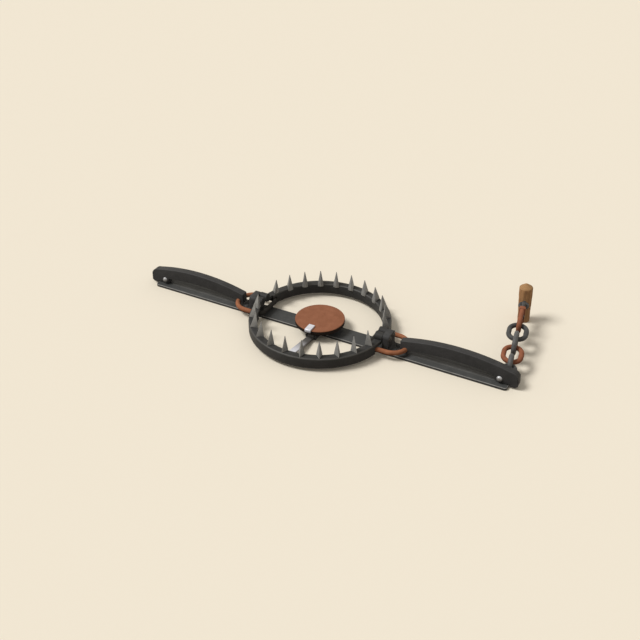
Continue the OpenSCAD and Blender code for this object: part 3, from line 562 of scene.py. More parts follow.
@dataclass
class Workpiece:
    """A piece on the bench, and the operators that it is modelled with.

    Attributes:
        piece: The object that holds the piece.
    """

    piece: bpy.types.Object

    @staticmethod
    def clear() -> None:
        """Leaves edit mode and deselects everything."""
        if bpy.context.mode != "OBJECT":
            bpy.ops.object.mode_set(mode="OBJECT")
        bpy.ops.object.select_all(action="DESELECT")

    @classmethod
    def added(cls, name: str, *size: float) -> "Workpiece":
        """Takes up the primitive that was just added and puts its place and size into its mesh.

        Args:
            name: Name of the piece.
            size: Its size along each axis in millimetres, if it was added one metre large.

        Returns:
            The piece.
        """
        work = cls(bpy.context.object)
        work.rename(name)
        if size:
            work.piece.scale = [length * MM for length in size]
        bpy.ops.object.transform_apply(location=True, rotation=True, scale=True)
        return work

    @classmethod
    def box(cls, name: str, low: Point, high: Point) -> "Workpiece":
        """Adds a box between its lowest and its highest corner."""
        cls.clear()
        bpy.ops.mesh.primitive_cube_add(size=1.0, location=[(a + b) / 2 * MM for a, b in zip(low, high)])
        return cls.added(name, *(b - a for a, b in zip(low, high)))

    @classmethod
    def sheet(cls, name: str, middle: Point, turn: Point, width: float, height: float) -> "Workpiece":
        """Adds a flat rectangle, its width along its own X, turned about its middle by radians."""
        cls.clear()
        bpy.ops.mesh.primitive_plane_add(size=1.0, location=[v * MM for v in middle], rotation=turn)
        return cls.added(name, width, height, 1.0)

    @classmethod
    def rod(cls, name: str, middle: Point, along: Point, size: Sequence[float], sides: int) -> "Workpiece":
        """Adds a rod.

        Args:
            name: Name of the piece.
            middle: Middle of the rod in millimetres.
            along: Direction of the rod.
            size: Its radius and its length in millimetres.
            sides: Number of sides.

        Returns:
            The new piece.
        """
        cls.clear()
        bpy.ops.mesh.primitive_cylinder_add(
            vertices=sides, radius=size[0] * MM, depth=size[1] * MM,
            location=[v * MM for v in middle], rotation=Vector(along).to_track_quat("Z", "Y").to_euler(),
        )
        return cls.added(name)

    def rename(self, name: str) -> None:
        """Names the piece and its mesh."""
        self.piece.name = name
        self.piece.data.name = name

    def take(self) -> None:
        """Makes the piece the only selected one."""
        self.clear()
        self.piece.select_set(True)
        bpy.context.view_layer.objects.active = self.piece

    @contextmanager
    def editing(self) -> Iterator[None]:
        """Opens the piece in edit mode with everything selected, and closes it again."""
        self.take()
        bpy.ops.object.mode_set(mode="EDIT")
        bpy.ops.mesh.select_all(action="SELECT")
        yield
        bpy.ops.object.mode_set(mode="OBJECT")

    def pick(self, kind: str, choose: Callable[[bmesh.types.BMesh], Sequence]) -> None:
        """Selects some elements of the mesh, in edit mode.

        Args:
            kind: VERT, EDGE or FACE.
            choose: Gives the elements of that kind to select.
        """
        bpy.ops.mesh.select_mode(type=kind)
        bpy.ops.mesh.select_all(action="DESELECT")
        shape = bmesh.from_edit_mesh(self.piece.data)
        for element in choose(shape):
            element.select_set(True)
        if kind == "VERT":
            shape.select_flush(True)
        bmesh.update_edit_mesh(self.piece.data)

    def pick_faces(self, test: Test) -> None:
        """Selects the faces whose middle and normal pass a test, in edit mode."""
        self.pick("FACE", lambda shape: [f for f in shape.faces if test(f.calc_center_median(), f.normal)])

    def pick_level(self, way: int, central: bool = False) -> None:
        """Selects the level faces that look up (1) or down (-1), or the central one of them, in edit mode."""
        reach = NEAR * MM if central else math.inf
        self.pick_faces(lambda middle, normal: normal.z * way > LEVEL and middle.xy.length < reach)

    def pick_edges(self, test: Test) -> None:
        """Selects the edges whose two ends pass a test, in edit mode."""
        self.pick("EDGE", lambda shape: [e for e in shape.edges if test(e.verts[0].co, e.verts[1].co)])

    def pick_corners(self, test: Callable[[Vector], bool]) -> None:
        """Selects the corners whose place passes a test, in edit mode."""
        self.pick("VERT", lambda shape: [v for v in shape.verts if test(v.co)])

    @staticmethod
    def shift(x: float, y: float, z: float) -> None:
        """Moves what is selected, in edit mode, by millimetres."""
        bpy.ops.transform.translate(value=(x * MM, y * MM, z * MM))

    @staticmethod
    def draw(x: float, y: float, z: float) -> None:
        """Extrudes what is selected, in edit mode, by millimetres."""
        bpy.ops.mesh.extrude_region_move(TRANSFORM_OT_translate={"value": (x * MM, y * MM, z * MM)})

    @staticmethod
    def round_edges(width: float, steps: int, slot: int = -1) -> None:
        """Bevels the selected edges, in edit mode.

        Args:
            width: Width of the bevel in millimetres.
            steps: Number of facets across it.
            slot: Material slot of the new faces, or -1 to keep that of their neighbours.
        """
        bpy.ops.mesh.bevel(offset=width * MM, segments=steps, affect="EDGES", material=slot)

    def clean(self) -> None:
        """Merges doubled corners and turns all faces outwards."""
        with self.editing():
            bpy.ops.mesh.remove_doubles(threshold=SAME * MM)
            bpy.ops.mesh.normals_make_consistent(inside=False)

    def join(self, others: Sequence["Workpiece"]) -> None:
        """Takes other pieces into the mesh."""
        self.take()
        for other in others:
            other.piece.select_set(True)
        bpy.ops.object.join()

    def modify(self, kind: str, **settings: object) -> None:
        """Adds a modifier of a kind with its settings, and applies it."""
        change = self.piece.modifiers.new(kind.lower(), kind)
        for key, value in settings.items():
            setattr(change, key, value)
        self.take()
        bpy.ops.object.modifier_apply(modifier=change.name)

    def combine(self, other: "Workpiece", operation: str) -> None:
        """Cuts another piece out (DIFFERENCE) or takes it in (UNION), and uses it up."""
        self.modify("BOOLEAN", object=other.piece, operation=operation, solver="EXACT")
        other.remove()

    def ease(self, width: float, angle: float) -> None:
        """Rounds the edges that are sharper than an angle in degrees; the new faces take material slot 1."""
        self.modify(
            "BEVEL", width=width * MM, segments=2, limit_method="ANGLE",
            angle_limit=math.radians(angle), material=1, use_clamp_overlap=True,
        )

    def smooth(self, angle: float) -> None:
        """Shades the piece smooth, apart from edges sharper than an angle in degrees."""
        self.take()
        bpy.ops.object.shade_smooth_by_angle(angle=math.radians(angle))

    def twin(self, name: str, place: Matrix) -> "Workpiece":
        """Copies the piece with a mesh of its own, turned or moved to its place."""
        twin = Workpiece(self.piece.copy())
        twin.piece.data = self.piece.data.copy()
        twin.rename(name)
        bpy.context.scene.collection.objects.link(twin.piece)
        twin.piece.data.transform(place)
        return twin

    def remove(self) -> None:
        """Takes the piece off the bench."""
        bpy.data.objects.remove(self.piece)

    def dress(self, *finishes: Finish) -> None:
        """Gives the piece its materials, in slot order."""
        self.piece.data.materials.clear()
        for finish in finishes:
            self.piece.data.materials.append(finish.build())

    def coat(self, slot: int, test: Test) -> None:
        """Puts the faces whose middle and normal pass a test into a material slot."""
        for face in self.piece.data.polygons:
            if test(face.center, face.normal):
                face.material_index = slot

    def settle(self, body: str, slot: str, *nodes: str) -> None:
        """Parents the finished piece to its body and hides the solids that it stands for.

        Args:
            body: Body that it rides on.
            slot: Material slot of the record; not used.
            nodes: Nodes that it stands for.
        """
        piece = self.piece
        if nodes:
            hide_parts(*nodes)
        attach(piece, body)
        log.info("%s rides on %s", piece.name, body)


# Sub-assemblies: lengths in millimetres, angles in degrees


@dataclass
class BaseBar:
    """The flat bar that the trap is built on."""

    length: float = 826.0
    width: float = 41.6
    thickness: float = 6.0
    corner: float = 6.0
    bevel: float = 1.0
    painted_light_x: Tuple[float, float] = (192.0, 384.0)
    painted_light_y: Tuple[float, float] = (-5.0, 8.2)

    def painted_light(self, middle: Vector, normal: Vector) -> bool:
        """True for a face on top of the bar under a spring, which gets painted light: a paler patch that
        cancels the spring's shadow on the bar.
        """
        x, y = abs(middle.x) / MM, middle.y / MM
        inside = self.painted_light_x[0] < x < self.painted_light_x[1] and self.painted_light_y[0] < y < self.painted_light_y[1]
        return inside and normal.z > LEVEL

    def build(self) -> None:
        """Models the bar with rounded ends and rubbed top edges whose paleness is partly painted highlight,
        and paints light on its top under the springs to cancel their shadow.
        """
        end, half = self.length / 2, self.width / 2
        bar = Workpiece.box("base_bar", (-end, -half, 0), (end, half, self.thickness))
        bar.dress(Finishes.BASE, Finishes.BASE_EDGE, Finishes.BASE_PAINTED_LIGHT)
        with bar.editing():
            bar.pick_edges(lambda a, b: abs(a.z - b.z) > self.thickness / 2 * MM)
            bar.round_edges(self.corner, 5)
        bar.ease(self.bevel, 50.0)
        # Cuts the top along the borders of the painted light, so that it can get the paler finish in slot 2.
        cuts = [(side.value * x, 0) for side in Side for x in self.painted_light_x]
        cuts += [(0, y) for y in self.painted_light_y]
        with bar.editing():
            for x, y in cuts:
                bpy.ops.mesh.select_all(action="SELECT")
                bpy.ops.mesh.bisect(plane_co=(x * MM, y * MM, 0), plane_no=(1, 0, 0) if x else (0, 1, 0))
        # Painted light: the top under the springs gets the paler finish in slot 2.
        bar.coat(2, self.painted_light)
        bar.smooth(40.0)
        bar.settle("base", "base_iron", "base_plate")


@dataclass
class ToothedJaw:
    """One half-ring jaw with its row of teeth."""

    row: Row
    outer: float = 150.0
    width: float = 17.2
    bottom: float = 6.5
    height: float = 24.0
    edge: float = 2.5
    facets: int = 144
    pivot_y: float = 9.5
    pivot_z: float = 34.0
    knuckle: float = 9.0
    knuckle_in: float = 133.0
    knuckle_out: float = 149.6
    knuckle_sides: int = 40
    stub: float = 20.0
    neck: float = 27.5
    neck_bottom: float = 23.2
    neck_lap: float = 2.0
    neck_lift: float = 0.02
    notch: float = 38.5
    spare: float = 20.0
    teeth: int = 11
    pitch: float = 15.0
    stagger: float = 2.7
    tooth_foot: float = 15.0
    tooth_plinth: float = 2.5
    tooth_set: float = 6.0
    tooth_slim: float = 0.84
    tooth_lap: float = 5.0
    tooth_ridge: float = 1.6
    tooth_tip: float = 1.6
    tooth_height: float = 33.0
    tooth_lean: float = 6.0
    tooth_edge: float = 0.5

    @property
    def name(self) -> str:
        """Name of the jaw's body."""
        return f"{self.row.name.lower()}_jaw"

    @property
    def tooth_stand(self) -> float:
        """How far a tooth's foot stands in front of the bar's inner side; little where the dog passes it."""
        return 2.4 if self.row is Row.REAR else 0.3

    @property
    def top(self) -> float:
        """Height of the top of the bar."""
        return self.bottom + self.height

    def ring(self) -> Workpiece:
        """Spins the bar's section into a whole ring with rounded edges."""
        middle = (self.outer - self.width / 2, 0, self.bottom + self.height / 2)
        ring = Workpiece.sheet(f"{self.name}_bar", middle, (math.pi / 2, 0, 0), self.width, self.height)
        with ring.editing():
            bpy.ops.mesh.delete(type="ONLY_FACE")
            bpy.ops.mesh.select_all(action="SELECT")
            bpy.ops.mesh.spin(steps=self.facets, angle=2 * math.pi, center=(0, 0, 0), axis=(0, 0, 1))
        ring.clean()
        ring.dress(Finishes.JAW, Finishes.JAW_EDGE)
        same = SAME * MM
        with ring.editing():
            ring.pick_edges(lambda a, b: abs(a.xy.length - b.xy.length) < same and abs(a.z - b.z) < same)
            ring.round_edges(self.edge, 3, 1)
        return ring

    def bar(self) -> Workpiece:
        """Cuts the ring to one jaw and adds its necks and knuckles."""
        side = self.row.value
        jaw = self.ring()
        far, low, high = self.outer + self.spare, self.bottom - self.spare, self.top + self.spare
        for x, y, top in (
            (far, self.stub, high), (self.knuckle_in, self.neck, high), (far, self.notch, self.neck_bottom)
        ):
            near, away = sorted((-side * far, side * y))
            jaw.combine(Workpiece.box("cutter", (-x, near, low), (x, away, top)), "DIFFERENCE")
        for end in Side:
            x = sorted((end.value * self.knuckle_in, end.value * self.knuckle_out))
            y = sorted((side * (self.pivot_y + self.neck_lap), side * (self.stub + self.neck_lap)))
            foot = self.neck_bottom + self.neck_lift
            neck = Workpiece.box("neck", (x[0], y[0], foot), (x[1], y[1], self.top))
            middle = (sum(x) / 2, side * self.pivot_y, self.pivot_z)
            size = (self.knuckle, x[1] - x[0])
            knuckle = Workpiece.rod("knuckle", middle, (1, 0, 0), size, self.knuckle_sides)
            knuckle.combine(neck, "UNION")
            jaw.combine(knuckle, "UNION")
        jaw.clean()
        return jaw

    def tooth(self, plain: bool) -> Workpiece:
        """Models one tooth at angle 0, broad at the inner edge of the bar and with a ridge out over its top.

        Args:
            plain: Whether its foot ends on top of the bar, as at the row's ends, where a spring eye passes.

        Returns:
            The tooth.
        """
        stand, lap = (0.0, 0.0) if plain else (self.tooth_stand, self.tooth_lap)
        taper = self.tooth_height - self.tooth_plinth
        middle, inner = self.outer - self.width / 2, self.outer - self.width
        shoulder = self.top + self.tooth_plinth
        Workpiece.clear()
        bpy.ops.mesh.primitive_cone_add(
            vertices=4, radius1=self.tooth_foot / 2 * MM, radius2=self.tooth_tip / 2 * MM, depth=taper * MM,
            location=(middle * MM, 0, (shoulder + taper / 2) * MM),
        )
        tooth = Workpiece.added(f"{self.name}_teeth")

        def pull(side: int, low: float, high: float, out: float, up: float) -> None:
            """Moves the foot's corners on one side of the bar's middle, or at it, between two heights."""
            apart = 2 * MM
            tooth.pick_corners(
                lambda at: low - NEAR < at.z / MM < high + NEAR
                and (abs(at.y) > apart if side == 0 else (at.x - middle * MM) * side > apart)
            )
            tooth.shift(out, 0, up)

        with tooth.editing():
            tooth.pick_level(1)
            tooth.shift(-self.tooth_lean, 0, 0)
            tooth.pick_level(-1)
            tooth.draw(0, 0, -self.tooth_plinth)
            pull(0, self.top, shoulder, -self.tooth_set, 0)
            bpy.ops.transform.resize(value=(1, self.tooth_slim, 1), center_override=(0, 0, 0))
            heel = inner - (middle - self.tooth_foot / 2)
            pull(-1, shoulder, shoulder, heel - stand / 2, 0)
            pull(-1, self.top, self.top, heel - stand, -lap)
            pull(1, shoulder, shoulder, 0, -self.tooth_ridge)
        tooth.clean()
        tooth.dress(Finishes.TOOTH, Finishes.TOOTH_EDGE)
        tooth.ease(self.tooth_edge, 25.0)
        tooth.smooth(30.0)
        return tooth

    def build(self) -> None:
        """Builds the bar and the row of teeth."""
        jaw = self.bar()
        jaw.smooth(34.0)
        jaw.settle(self.name, "jaw_iron", self.name)
        patterns = [self.tooth(plain) for plain in (False, True)]
        row: List[Workpiece] = []
        for i in range(self.teeth):
            angle = self.row.value * (90.0 + (i - (self.teeth - 1) / 2) * self.pitch) - self.stagger
            pattern = patterns[i in (0, self.teeth - 1)]
            row.append(pattern.twin(f"tooth_{i}", Matrix.Rotation(math.radians(angle), 4, "Z")))
        for pattern in patterns:
            pattern.remove()
        row[0].join(row)
        row[0].rename(f"{self.name}_tooth_row")
        row[0].settle(self.name, "tooth_steel", f"{self.name}_teeth")


@dataclass
class LongSpring:
    """An arched spring bar with its heel bend and its eye."""

    side: Side
    width: float = 16.5
    tip_x: float = 186.0
    tip_top: float = 35.0
    tip_depth: float = 21.0
    arch: float = 14.3
    under_arch: float = 8.9
    under_arch_end: float = 3.6
    heel_x: float = 394.0
    heel_z: float = 15.5
    boss: float = 9.0
    boss_gap: float = 0.3
    slot_r: float = 8.4
    slot_half: float = 3.9
    mouth: float = 9.8
    bend_x: float = 414.5
    bend_z: float = 21.3
    bend_r: float = 16.0
    floor: float = 6.6
    relief: float = 7.5
    lip_x: float = 415.0
    lip: float = 4.4
    lip_step: float = 0.05
    lip_bevel: float = 4.0
    eye_x: float = 166.0
    eye_in: float = 125.0
    eye_half: float = 32.5
    eye_z: float = 17.5
    eye_bar: float = 5.0
    eye_corner: float = 10.0
    easing: float = 1.3

    @property
    def name(self) -> str:
        """Name of the spring's body."""
        return f"{self.side.name.lower()}_spring"

    @staticmethod
    def arc(x: float, start: Tuple[float, float], end: Tuple[float, float], rise: float) -> float:
        """Height at x of the arc that joins two points and rises between them.

        Args:
            x: Place along the arc.
            start: First point, as (x, z).
            end: Last point, as (x, z).
            rise: Height of the arc over the straight line.

        Returns:
            The height.
        """
        p, q = Vector(start), Vector(end)
        along = (q - p).normalized()
        radius = (((q - p).length / 2) ** 2 + rise * rise) / (2 * rise)
        centre = (p + q) / 2 + Vector((-along.y, along.x)) * (rise - radius)
        return centre.y + math.sqrt(radius * radius - (x - centre.x) ** 2)

    def outline(self, x: float) -> Tuple[float, float]:
        """Lower and upper edge of the spring's side view at x."""
        if x <= self.bend_x:
            top = self.arc(x, (self.tip_x, self.tip_top), (self.bend_x, self.bend_z + self.bend_r), self.arch)
        else:
            top = self.bend_z + math.sqrt(max(0.0, self.bend_r**2 - (x - self.bend_x) ** 2))
        if x < self.heel_x - self.boss:
            tip = (self.tip_x, self.tip_top - self.tip_depth)
            low = self.arc(x, tip, (self.heel_x, self.heel_z + self.under_arch_end), self.under_arch)
        elif x < self.heel_x:
            low = self.heel_z - math.sqrt(max(0.0, self.boss**2 - (x - self.heel_x) ** 2))
        elif x < self.lip_x:
            low = self.floor + (x - self.heel_x) * math.tan(math.radians(self.relief))
        else:
            low = self.lip + max(0.0, x - (self.bend_x + self.bend_r - self.lip_bevel))
        return low, top

    def stations(self) -> List[float]:
        """Places along the spring where its outline is set, closer together at the heel."""
        end = self.heel_x - self.boss - self.boss_gap
        straight = [self.tip_x + (end - self.tip_x) * i / 40 for i in range(41)]
        pocket = [self.heel_x - self.boss * math.cos(math.pi / 2 * i / 9) for i in range(10)]
        floor = [self.heel_x + (self.bend_x - self.heel_x) * i / 6 for i in range(1, 7)]
        lip = [self.lip_x - self.lip_step, self.lip_x]
        bend = [self.bend_x + self.bend_r * math.sin(math.pi / 2 * i / 14) for i in range(2, 15)]
        return straight + pocket + floor + lip + bend

    def arm(self) -> Workpiece:
        """Extrudes the arched bar from its tip to its heel, station by station."""
        places = self.stations()
        low, top = self.outline(places[0])
        middle = (places[0], 0, (low + top) / 2)
        arm = Workpiece.sheet(f"{self.name}_bar", middle, (0, math.pi / 2, 0), top - low, self.width)
        with arm.editing():
            for before, after in zip(places, places[1:]):
                old, new = self.outline(before), self.outline(after)
                arm.draw(after - before, 0, (sum(new) - sum(old)) / 2)
                bpy.ops.transform.resize(
                    value=(1, 1, (new[1] - new[0]) / (old[1] - old[0])),
                    center_override=(after * MM, 0, sum(new) / 2 * MM),
                )
        arm.clean()
        x, z, half = self.heel_x, self.heel_z, self.slot_half
        slot = Workpiece.rod("slot", (x, 0, z), (0, 1, 0), (self.slot_r, 2 * half), 48)
        mouth = Workpiece.box("mouth", (x - self.mouth, -half, 0), (x + self.mouth, half, z))
        for cutter in (slot, mouth):
            arm.combine(cutter, "DIFFERENCE")
        arm.dress(Finishes.SPRING, Finishes.SPRING_EDGE)

        def outside(at: Vector) -> bool:
            """True for a corner on the top or at the tip, on either flank."""
            x, flank = at.x / MM, abs(at.y) > (self.width / 2 - NEAR) * MM
            return flank and (x < self.tip_x + NEAR or at.z / MM > self.outline(x)[1] - 2 * NEAR)

        with arm.editing():
            arm.pick_edges(lambda a, b: outside(a) and outside(b) and abs(a.y - b.y) < NEAR * MM)
            arm.round_edges(self.easing, 3, 1)
        return arm

    def eye(self) -> Workpiece:
        """Bends round bar into the eye that lies round the post."""
        inner, flank = self.eye_in + self.eye_corner, self.eye_half - self.eye_corner
        Workpiece.clear()
        bpy.ops.mesh.primitive_circle_add(
            vertices=16, radius=self.eye_bar * MM, rotation=(0, math.pi / 2, 0),
            location=(self.eye_x * MM, -self.eye_half * MM, self.eye_z * MM),
        )
        eye = Workpiece.added(f"{self.name}_eye_bar")

        def bend(x: float, y: float, angle: float, steps: int) -> None:
            """Bends the open end of the bar round an upright line, angle in degrees."""
            centre = (x * MM, y * MM, self.eye_z * MM)
            bpy.ops.mesh.spin(steps=steps, angle=math.radians(angle), center=centre, axis=(0, 0, -1))

        with eye.editing():
            bend(self.eye_x, 0, 180, 40)
            eye.draw(inner - self.eye_x, 0, 0)
            bend(inner, flank, 90, 10)
            eye.draw(0, -2 * flank, 0)
            bend(inner, -flank, 90, 10)
            eye.draw(self.eye_x - inner, 0, 0)
        eye.clean()
        eye.dress(Finishes.EYE)
        return eye

    def build(self) -> None:
        """Builds the bar and the eye on the spring's side."""
        place = Matrix.Scale(self.side.value, 4, (1, 0, 0))
        for work, slot, node in ((self.arm(), "spring_iron", "arm"), (self.eye(), "eye_rust", "eye")):
            work.piece.data.transform(place)
            if self.side is Side.LEFT:
                work.piece.data.flip_normals()
            work.smooth(36.0)
            work.settle(self.name, slot, f"{self.name}_{node}")


@dataclass
class Pan:
    """The round pan that is stepped on."""

    radius: float = 52.3
    top: float = 28.9
    rim: float = 9.0
    rim_shade_below: float = 27.4
    rim_shade_facing: float = 0.3
    edge: float = 1.4
    sheet: float = 3.0
    dish_ring: float = 9.0
    dish_drops: Tuple[float, ...] = (0.03, 0.084, 0.15, 0.216)

    def build(self) -> None:
        """Models the dished sheet with its turned-down rim, and paints shade on the rim's sides."""
        middle = (0, 0, self.top - self.rim / 2)
        pan = Workpiece.rod("pan_sheet", middle, (0, 0, 1), (self.radius, self.rim), 96)
        pan.dress(Finishes.PAN, Finishes.PAN_RIM_PAINTED_SHADE)
        with pan.editing():
            pan.pick_level(1)
            pan.round_edges(self.edge, 4)
            for drop in self.dish_drops:
                pan.pick_level(1, True)
                bpy.ops.mesh.inset(thickness=self.dish_ring * MM)
                pan.shift(0, 0, -drop)
            pan.pick_level(-1)
            bpy.ops.mesh.inset(thickness=self.sheet * MM)
            pan.shift(0, 0, self.rim - self.sheet)
        # Painted shade: faces on the rim's sides, below the top and not facing up, get the nearly black rim
        # finish.
        pan.coat(1, lambda middle, normal: normal.z < self.rim_shade_facing and middle.z < self.rim_shade_below * MM)
        pan.smooth(40.0)
        pan.settle("pan", "pan_rust", "pan_disc")


@dataclass
class Chain:
    """The chain from the right heel to the stake."""

    start: Point = (403.0, 23.15, 30.0)
    yaw: float = 9.6
    slope: float = 6.2
    bar: float = 5.0
    half: float = 22.6
    side: float = 17.0
    ring: float = 15.0
    ring_at: float = 5.5
    links: Tuple[float, ...] = (32.8, 67.7, 102.6)
    weld: Tuple[Tuple[float, float], ...] = ((4.6, 1.03), (2.9, 1.05))

    def place(self, at: float, lie: Lie) -> Matrix:
        """Where a link goes, a given distance along the chain, in metres."""
        place = Matrix.Translation(Vector(self.start) * MM)
        for angle, axis in ((self.yaw, "Z"), (self.slope, "X")):
            place = place @ Matrix.Rotation(math.radians(angle), 4, axis)
        place = place @ Matrix.Translation((0, at * MM, 0))
        return place @ Matrix.Rotation(math.radians(lie.value), 4, "Y")

    def link(self, name: str, half: float, side: float) -> Workpiece:
        """Stretches a ring of round bar into a link with a weld in one side.

        Args:
            name: Name of the piece.
            half: Half the length between the middles of its end bars.
            side: Half the width between the middles of its side bars.

        Returns:
            The link, in its own X-Y plane.
        """
        Workpiece.clear()
        bpy.ops.mesh.primitive_torus_add(
            major_segments=64, minor_segments=20, major_radius=side * MM, minor_radius=self.bar * MM
        )
        link = Workpiece.added(name)
        with link.editing():
            for way in (1, -1):
                link.pick_corners(lambda at: at.y * way > SAME * MM)
                link.shift(0, way * (half - side), 0)
            for reach, swell in self.weld:
                link.pick_corners(lambda at: at.x > 0 and abs(at.y) < reach * MM)
                bpy.ops.transform.resize(value=(swell, 1, swell), center_override=(side * MM, 0, 0))
        return link

    def build(self) -> None:
        """Builds the heel ring and the three links."""
        ring, link = (self.ring, self.ring), (self.half, self.side)
        plan = (
            ("heel_ring", self.ring_at, ring, Lie.UPRIGHT, Finishes.CHAIN_GREY, "chain_grey"),
            ("chain_link_1", self.links[0], link, Lie.FLAT, Finishes.CHAIN_RUST, "chain_rust"),
            ("chain_link_2", self.links[1], link, Lie.UPRIGHT, Finishes.CHAIN_GREY, "chain_grey"),
            ("chain_link_3", self.links[2], link, Lie.FLAT, Finishes.CHAIN_DARK, "chain_dark"),
        )
        for name, at, size, lie, finish, slot in plan:
            work = self.link(f"{name}_bar", *size)
            work.piece.data.transform(self.place(at, lie))
            work.dress(finish)
            work.smooth(60.0)
            work.settle(name, slot, name)


@dataclass
class Stake:
    """The wooden stake that holds the chain."""

    x: float = 369.608
    y: float = 236.307
    top_r: float = 14.5
    foot_r: float = 12.5
    height: float = 90.0
    sunk: float = 3.0
    lean: float = 3.0
    worn: float = 1.8
    crown: float = 8.0
    crown_rings: int = 3
    crown_ring: float = 3.9
    crown_facing: float = 0.6
    sides: int = 56
    courses: int = 24
    hewing: float = 1.6
    hewing_size: float = 14.0

    def build(self) -> None:
        """Models the tapered, leaning stake with a hewn side, a worn top edge and a low crown."""
        rim = self.height - self.crown
        Workpiece.clear()
        bpy.ops.mesh.primitive_cone_add(
            vertices=self.sides, radius1=self.foot_r * MM, radius2=self.top_r * MM,
            depth=(rim + self.sunk) * MM, location=(0, 0, (rim - self.sunk) / 2 * MM),
        )
        stake = Workpiece.added("stake_stub")
        with stake.editing():
            stake.pick_edges(lambda a, b: abs(a.z - b.z) > NEAR * MM)
            bpy.ops.mesh.subdivide(number_cuts=self.courses)
            stake.pick_level(1)
            bpy.ops.mesh.inset(thickness=self.worn * MM)
            edge = self.top_r - self.worn / 2
            stake.pick_corners(lambda at: at.z > (rim - NEAR) * MM and at.xy.length > edge * MM)
            stake.shift(0, 0, -self.worn)
            for _ in range(self.crown_rings):
                stake.pick_level(1, True)
                bpy.ops.mesh.inset(thickness=self.crown_ring * MM)
                stake.shift(0, 0, self.crown / self.crown_rings)
        hewn = bpy.data.textures.new("hewn", "CLOUDS")
        hewn.noise_scale = self.hewing_size * MM
        stake.modify("DISPLACE", texture=hewn, strength=self.hewing * MM, mid_level=0.6)
        stake.piece.rotation_euler = (0, math.radians(-self.lean), 0)
        stake.piece.location = (self.x * MM, self.y * MM, 0)
        bpy.ops.object.transform_apply(location=True, rotation=True, scale=True)
        with stake.editing():
            bpy.ops.mesh.bisect(plane_co=(0, 0, 0), plane_no=(0, 0, 1), use_fill=True, clear_inner=True)
        stake.dress(Finishes.STAKE, Finishes.STAKE_TOP)
        stake.coat(1, lambda middle, normal: normal.z > self.crown_facing)
        stake.smooth(50.0)
        stake.settle("stake", "stake_wood", "stake")


class Fittings:
    """Pieces that keep their solids' own shape, with eased edges and a finish.

    Attributes:
        FINISHES: Finish of each material slot.
        SPECIAL: Finish of single pieces, where it differs from that of their slot.
        EDGES: Finish of the eased edges, for slots where it differs.
        EASING: Width of the eased edges in millimetres, and the pieces that have them.
    """

    FINISHES: Dict[str, Finish] = {
        "base_iron": Finishes.BASE,
        "fitting_iron": Finishes.FITTING,
        "pin_steel": Finishes.PIN,
        "pivot_steel": Finishes.PIVOT,
        "trigger_steel": Finishes.DOG,
        "jaw_iron": Finishes.JAW,
        "tooth_steel": Finishes.TOOTH,
        "spring_iron": Finishes.SPRING,
        "eye_rust": Finishes.EYE,
        "pan_rust": Finishes.PAN,
        "chain_grey": Finishes.CHAIN_GREY,
        "chain_rust": Finishes.CHAIN_RUST,
        "chain_dark": Finishes.CHAIN_DARK,
        "stake_wood": Finishes.STAKE,
    }
    SPECIAL: Dict[str, Finish] = {"pan_strap": Finishes.STRAP}
    EDGES: Dict[str, Finish] = {"fitting_iron": Finishes.FITTING_EDGE}
    EASING: Dict[float, Tuple[str, ...]] = {
        1.6: ("left_heel_pin", "right_heel_pin"),
        1.0: ("left_jaw_post", "right_jaw_post"),
        0.8: ("post_rivets", "left_jaw_pins", "right_jaw_pins"),
        0.6: ("dog",),
        0.5: (
            "left_heel_lug", "right_heel_lug", "pan_hinge_pin", "dog_hinge_pin", "pan_strap", "swivel_clevis",
        ),
        0.4: ("trigger_bracket", "heel_eye", "pan_rivets", "swivel_eye"),
        0.3: ("bracket_rivets", "stake_eye"),
    }

    def finish(self, node: str, slot: str) -> Finish:
        """Finish of a piece in a material slot."""
        return self.SPECIAL.get(node, self.FINISHES[slot])

    def ease(self, node: str, width: float, body: str, slot: str) -> None:
        """Eases the edges of a copy of one solid and lets it stand for the solid.

        Args:
            node: The solid's node.
            width: Width of the eased edges in millimetres.
            body: Body that it rides on.
            slot: Its material slot.
        """
        mesh = frame["nodes"][node].data.copy()
        work = Workpiece(bpy.data.objects.new(f"{node}_eased", mesh))
        mesh.name = work.piece.name
        bpy.context.scene.collection.objects.link(work.piece)
        with work.editing():
            bpy.ops.mesh.remove_doubles(threshold=SAME / 2 * MM)
            bpy.ops.mesh.dissolve_limited(angle_limit=math.radians(0.5))
        finish = self.finish(node, slot)
        work.dress(finish, self.EDGES.get(slot, finish))
        work.coat(0, lambda middle, normal: True)
        work.ease(width, 40.0)
        work.smooth(34.0)
        work.settle(body, slot, node)

    def build(self) -> None:
        """Puts its finish on every solid, and eases the small ones."""
        bodies = frame["record"]["behaviour"]["bodies"]
        home = {node: body for body, nodes in bodies.items() for node in nodes}
        easing = {node: width for width, nodes in self.EASING.items() for node in nodes}
        for part in frame["record"]["subparts"]:
            node, slot = part["node"], part["material_slot"]
            solid = frame["nodes"][node]
            material = self.finish(node, slot).build()
            if not solid.material_slots:
                solid.data.materials.append(material)
            for place in solid.material_slots:
                place.material = material
            log.info("%s is finished as %s", node, material.name)
            if node in easing:
                self.ease(node, easing[node], home[node], slot)


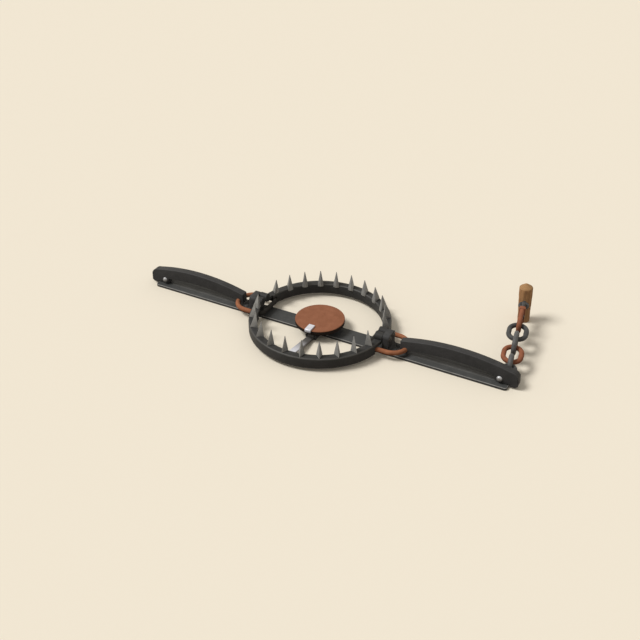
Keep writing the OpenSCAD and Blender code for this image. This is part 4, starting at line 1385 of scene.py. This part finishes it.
@dataclass
class Studio:
    """Pale floor, soft light and the camera, in metres."""

    eye: Point = (0.69566, -1.31387, 1.01516)
    right: Point = (0.88374, 0.46797, 0.0)
    up: Point = (-0.25973, 0.49050, 0.83184)
    forward: Point = (-0.38928, 0.73513, -0.55502)
    lens: float = 47.84
    backdrop: Colour = paint((242, 232, 213))
    bounce: Colour = paint((104, 90, 76))
    sky: Colour = (1.0, 0.98, 0.95, 1.0)
    ambient: float = 0.42
    key: float = 2.25
    key_from: Point = (-1.06, -0.56, 1.6)
    softness: float = 22.0
    floor_size: float = 12.0

    @staticmethod
    def seen(nodes: Tree) -> Socket:
        """Adds the value that is 1 where a surface is seen, straight, mirrored or through glass."""
        path = nodes.add("ShaderNodeLightPath")
        seen = nodes.maths("MAXIMUM", path.outputs["Is Camera Ray"], path.outputs["Is Glossy Ray"])
        return nodes.maths("MAXIMUM", seen, path.outputs["Is Transmission Ray"])

    def floor(self) -> None:
        """Lays a plain pale floor that throws little light back up at the trap."""
        Workpiece.clear()
        bpy.ops.mesh.primitive_plane_add(size=self.floor_size, location=(0, 0, 0))
        floor = Workpiece.added("floor").piece
        material = bpy.data.materials.new("floor")
        material.use_nodes = True
        nodes = Tree(material.node_tree)
        shader = material.node_tree.nodes["Principled BSDF"]
        shader.inputs["Roughness"].default_value = 0.95
        shader.inputs["Specular IOR Level"].default_value = 0.1
        nodes.link(nodes.mix(self.seen(nodes), self.bounce, self.backdrop), shader.inputs["Base Color"])
        floor.data.materials.append(material)

    def sun(self) -> None:
        """Hangs one broad, soft key light."""
        light = bpy.data.lights.new("key", "SUN")
        light.energy = self.key
        light.angle = math.radians(self.softness)
        lamp = bpy.data.objects.new("key", light)
        lamp.location = self.key_from
        lamp.rotation_euler = (-Vector(self.key_from)).to_track_quat("-Z", "Y").to_euler()
        bpy.context.scene.collection.objects.link(lamp)

    def camera(self) -> None:
        """Stands the camera at the photograph's view."""
        data = bpy.data.cameras.new("camera")
        data.lens = self.lens
        data.sensor_width = 36.0
        data.clip_end = 100.0
        camera = bpy.data.objects.new("camera", data)
        turn = Matrix((self.right, self.up, tuple(-v for v in self.forward))).transposed().to_4x4()
        camera.matrix_world = Matrix.Translation(self.eye) @ turn
        bpy.context.scene.collection.objects.link(camera)
        bpy.context.scene.camera = camera

    def world(self) -> None:
        """Gives soft light from all round, and a pale wall where the world itself is seen."""
        world = bpy.data.worlds.new("studio")
        world.use_nodes = True
        nodes = Tree(world.node_tree)
        sky = world.node_tree.nodes["Background"]
        sky.inputs["Color"].default_value = self.sky
        sky.inputs["Strength"].default_value = self.ambient
        wall = nodes.add("ShaderNodeBackground", Color=self.backdrop, Strength=1.0)
        either = nodes.add("ShaderNodeMixShader")
        for target, source in zip(either.inputs, (self.seen(nodes), sky.outputs[0], wall.outputs[0])):
            nodes.link(source, target)
        nodes.link(either.outputs[0], world.node_tree.nodes["World Output"].inputs["Surface"])
        bpy.context.scene.world = world

    def build(self) -> None:
        """Sets up the world, the floor, the light and the camera."""
        bpy.context.scene.view_settings.view_transform = "Standard"
        self.world()
        self.floor()
        self.sun()
        self.camera()


def main() -> None:
    """Builds and dresses the trap piece by piece."""
    logging.basicConfig(level=logging.INFO, format="%(name)s: %(message)s")
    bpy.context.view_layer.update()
    Studio().build()
    Fittings().build()
    BaseBar().build()
    for row in Row:
        ToothedJaw(row).build()
    for side in Side:
        LongSpring(side).build()
    Pan().build()
    Chain().build()
    Stake().build()


if __name__ == "__main__":
    main()
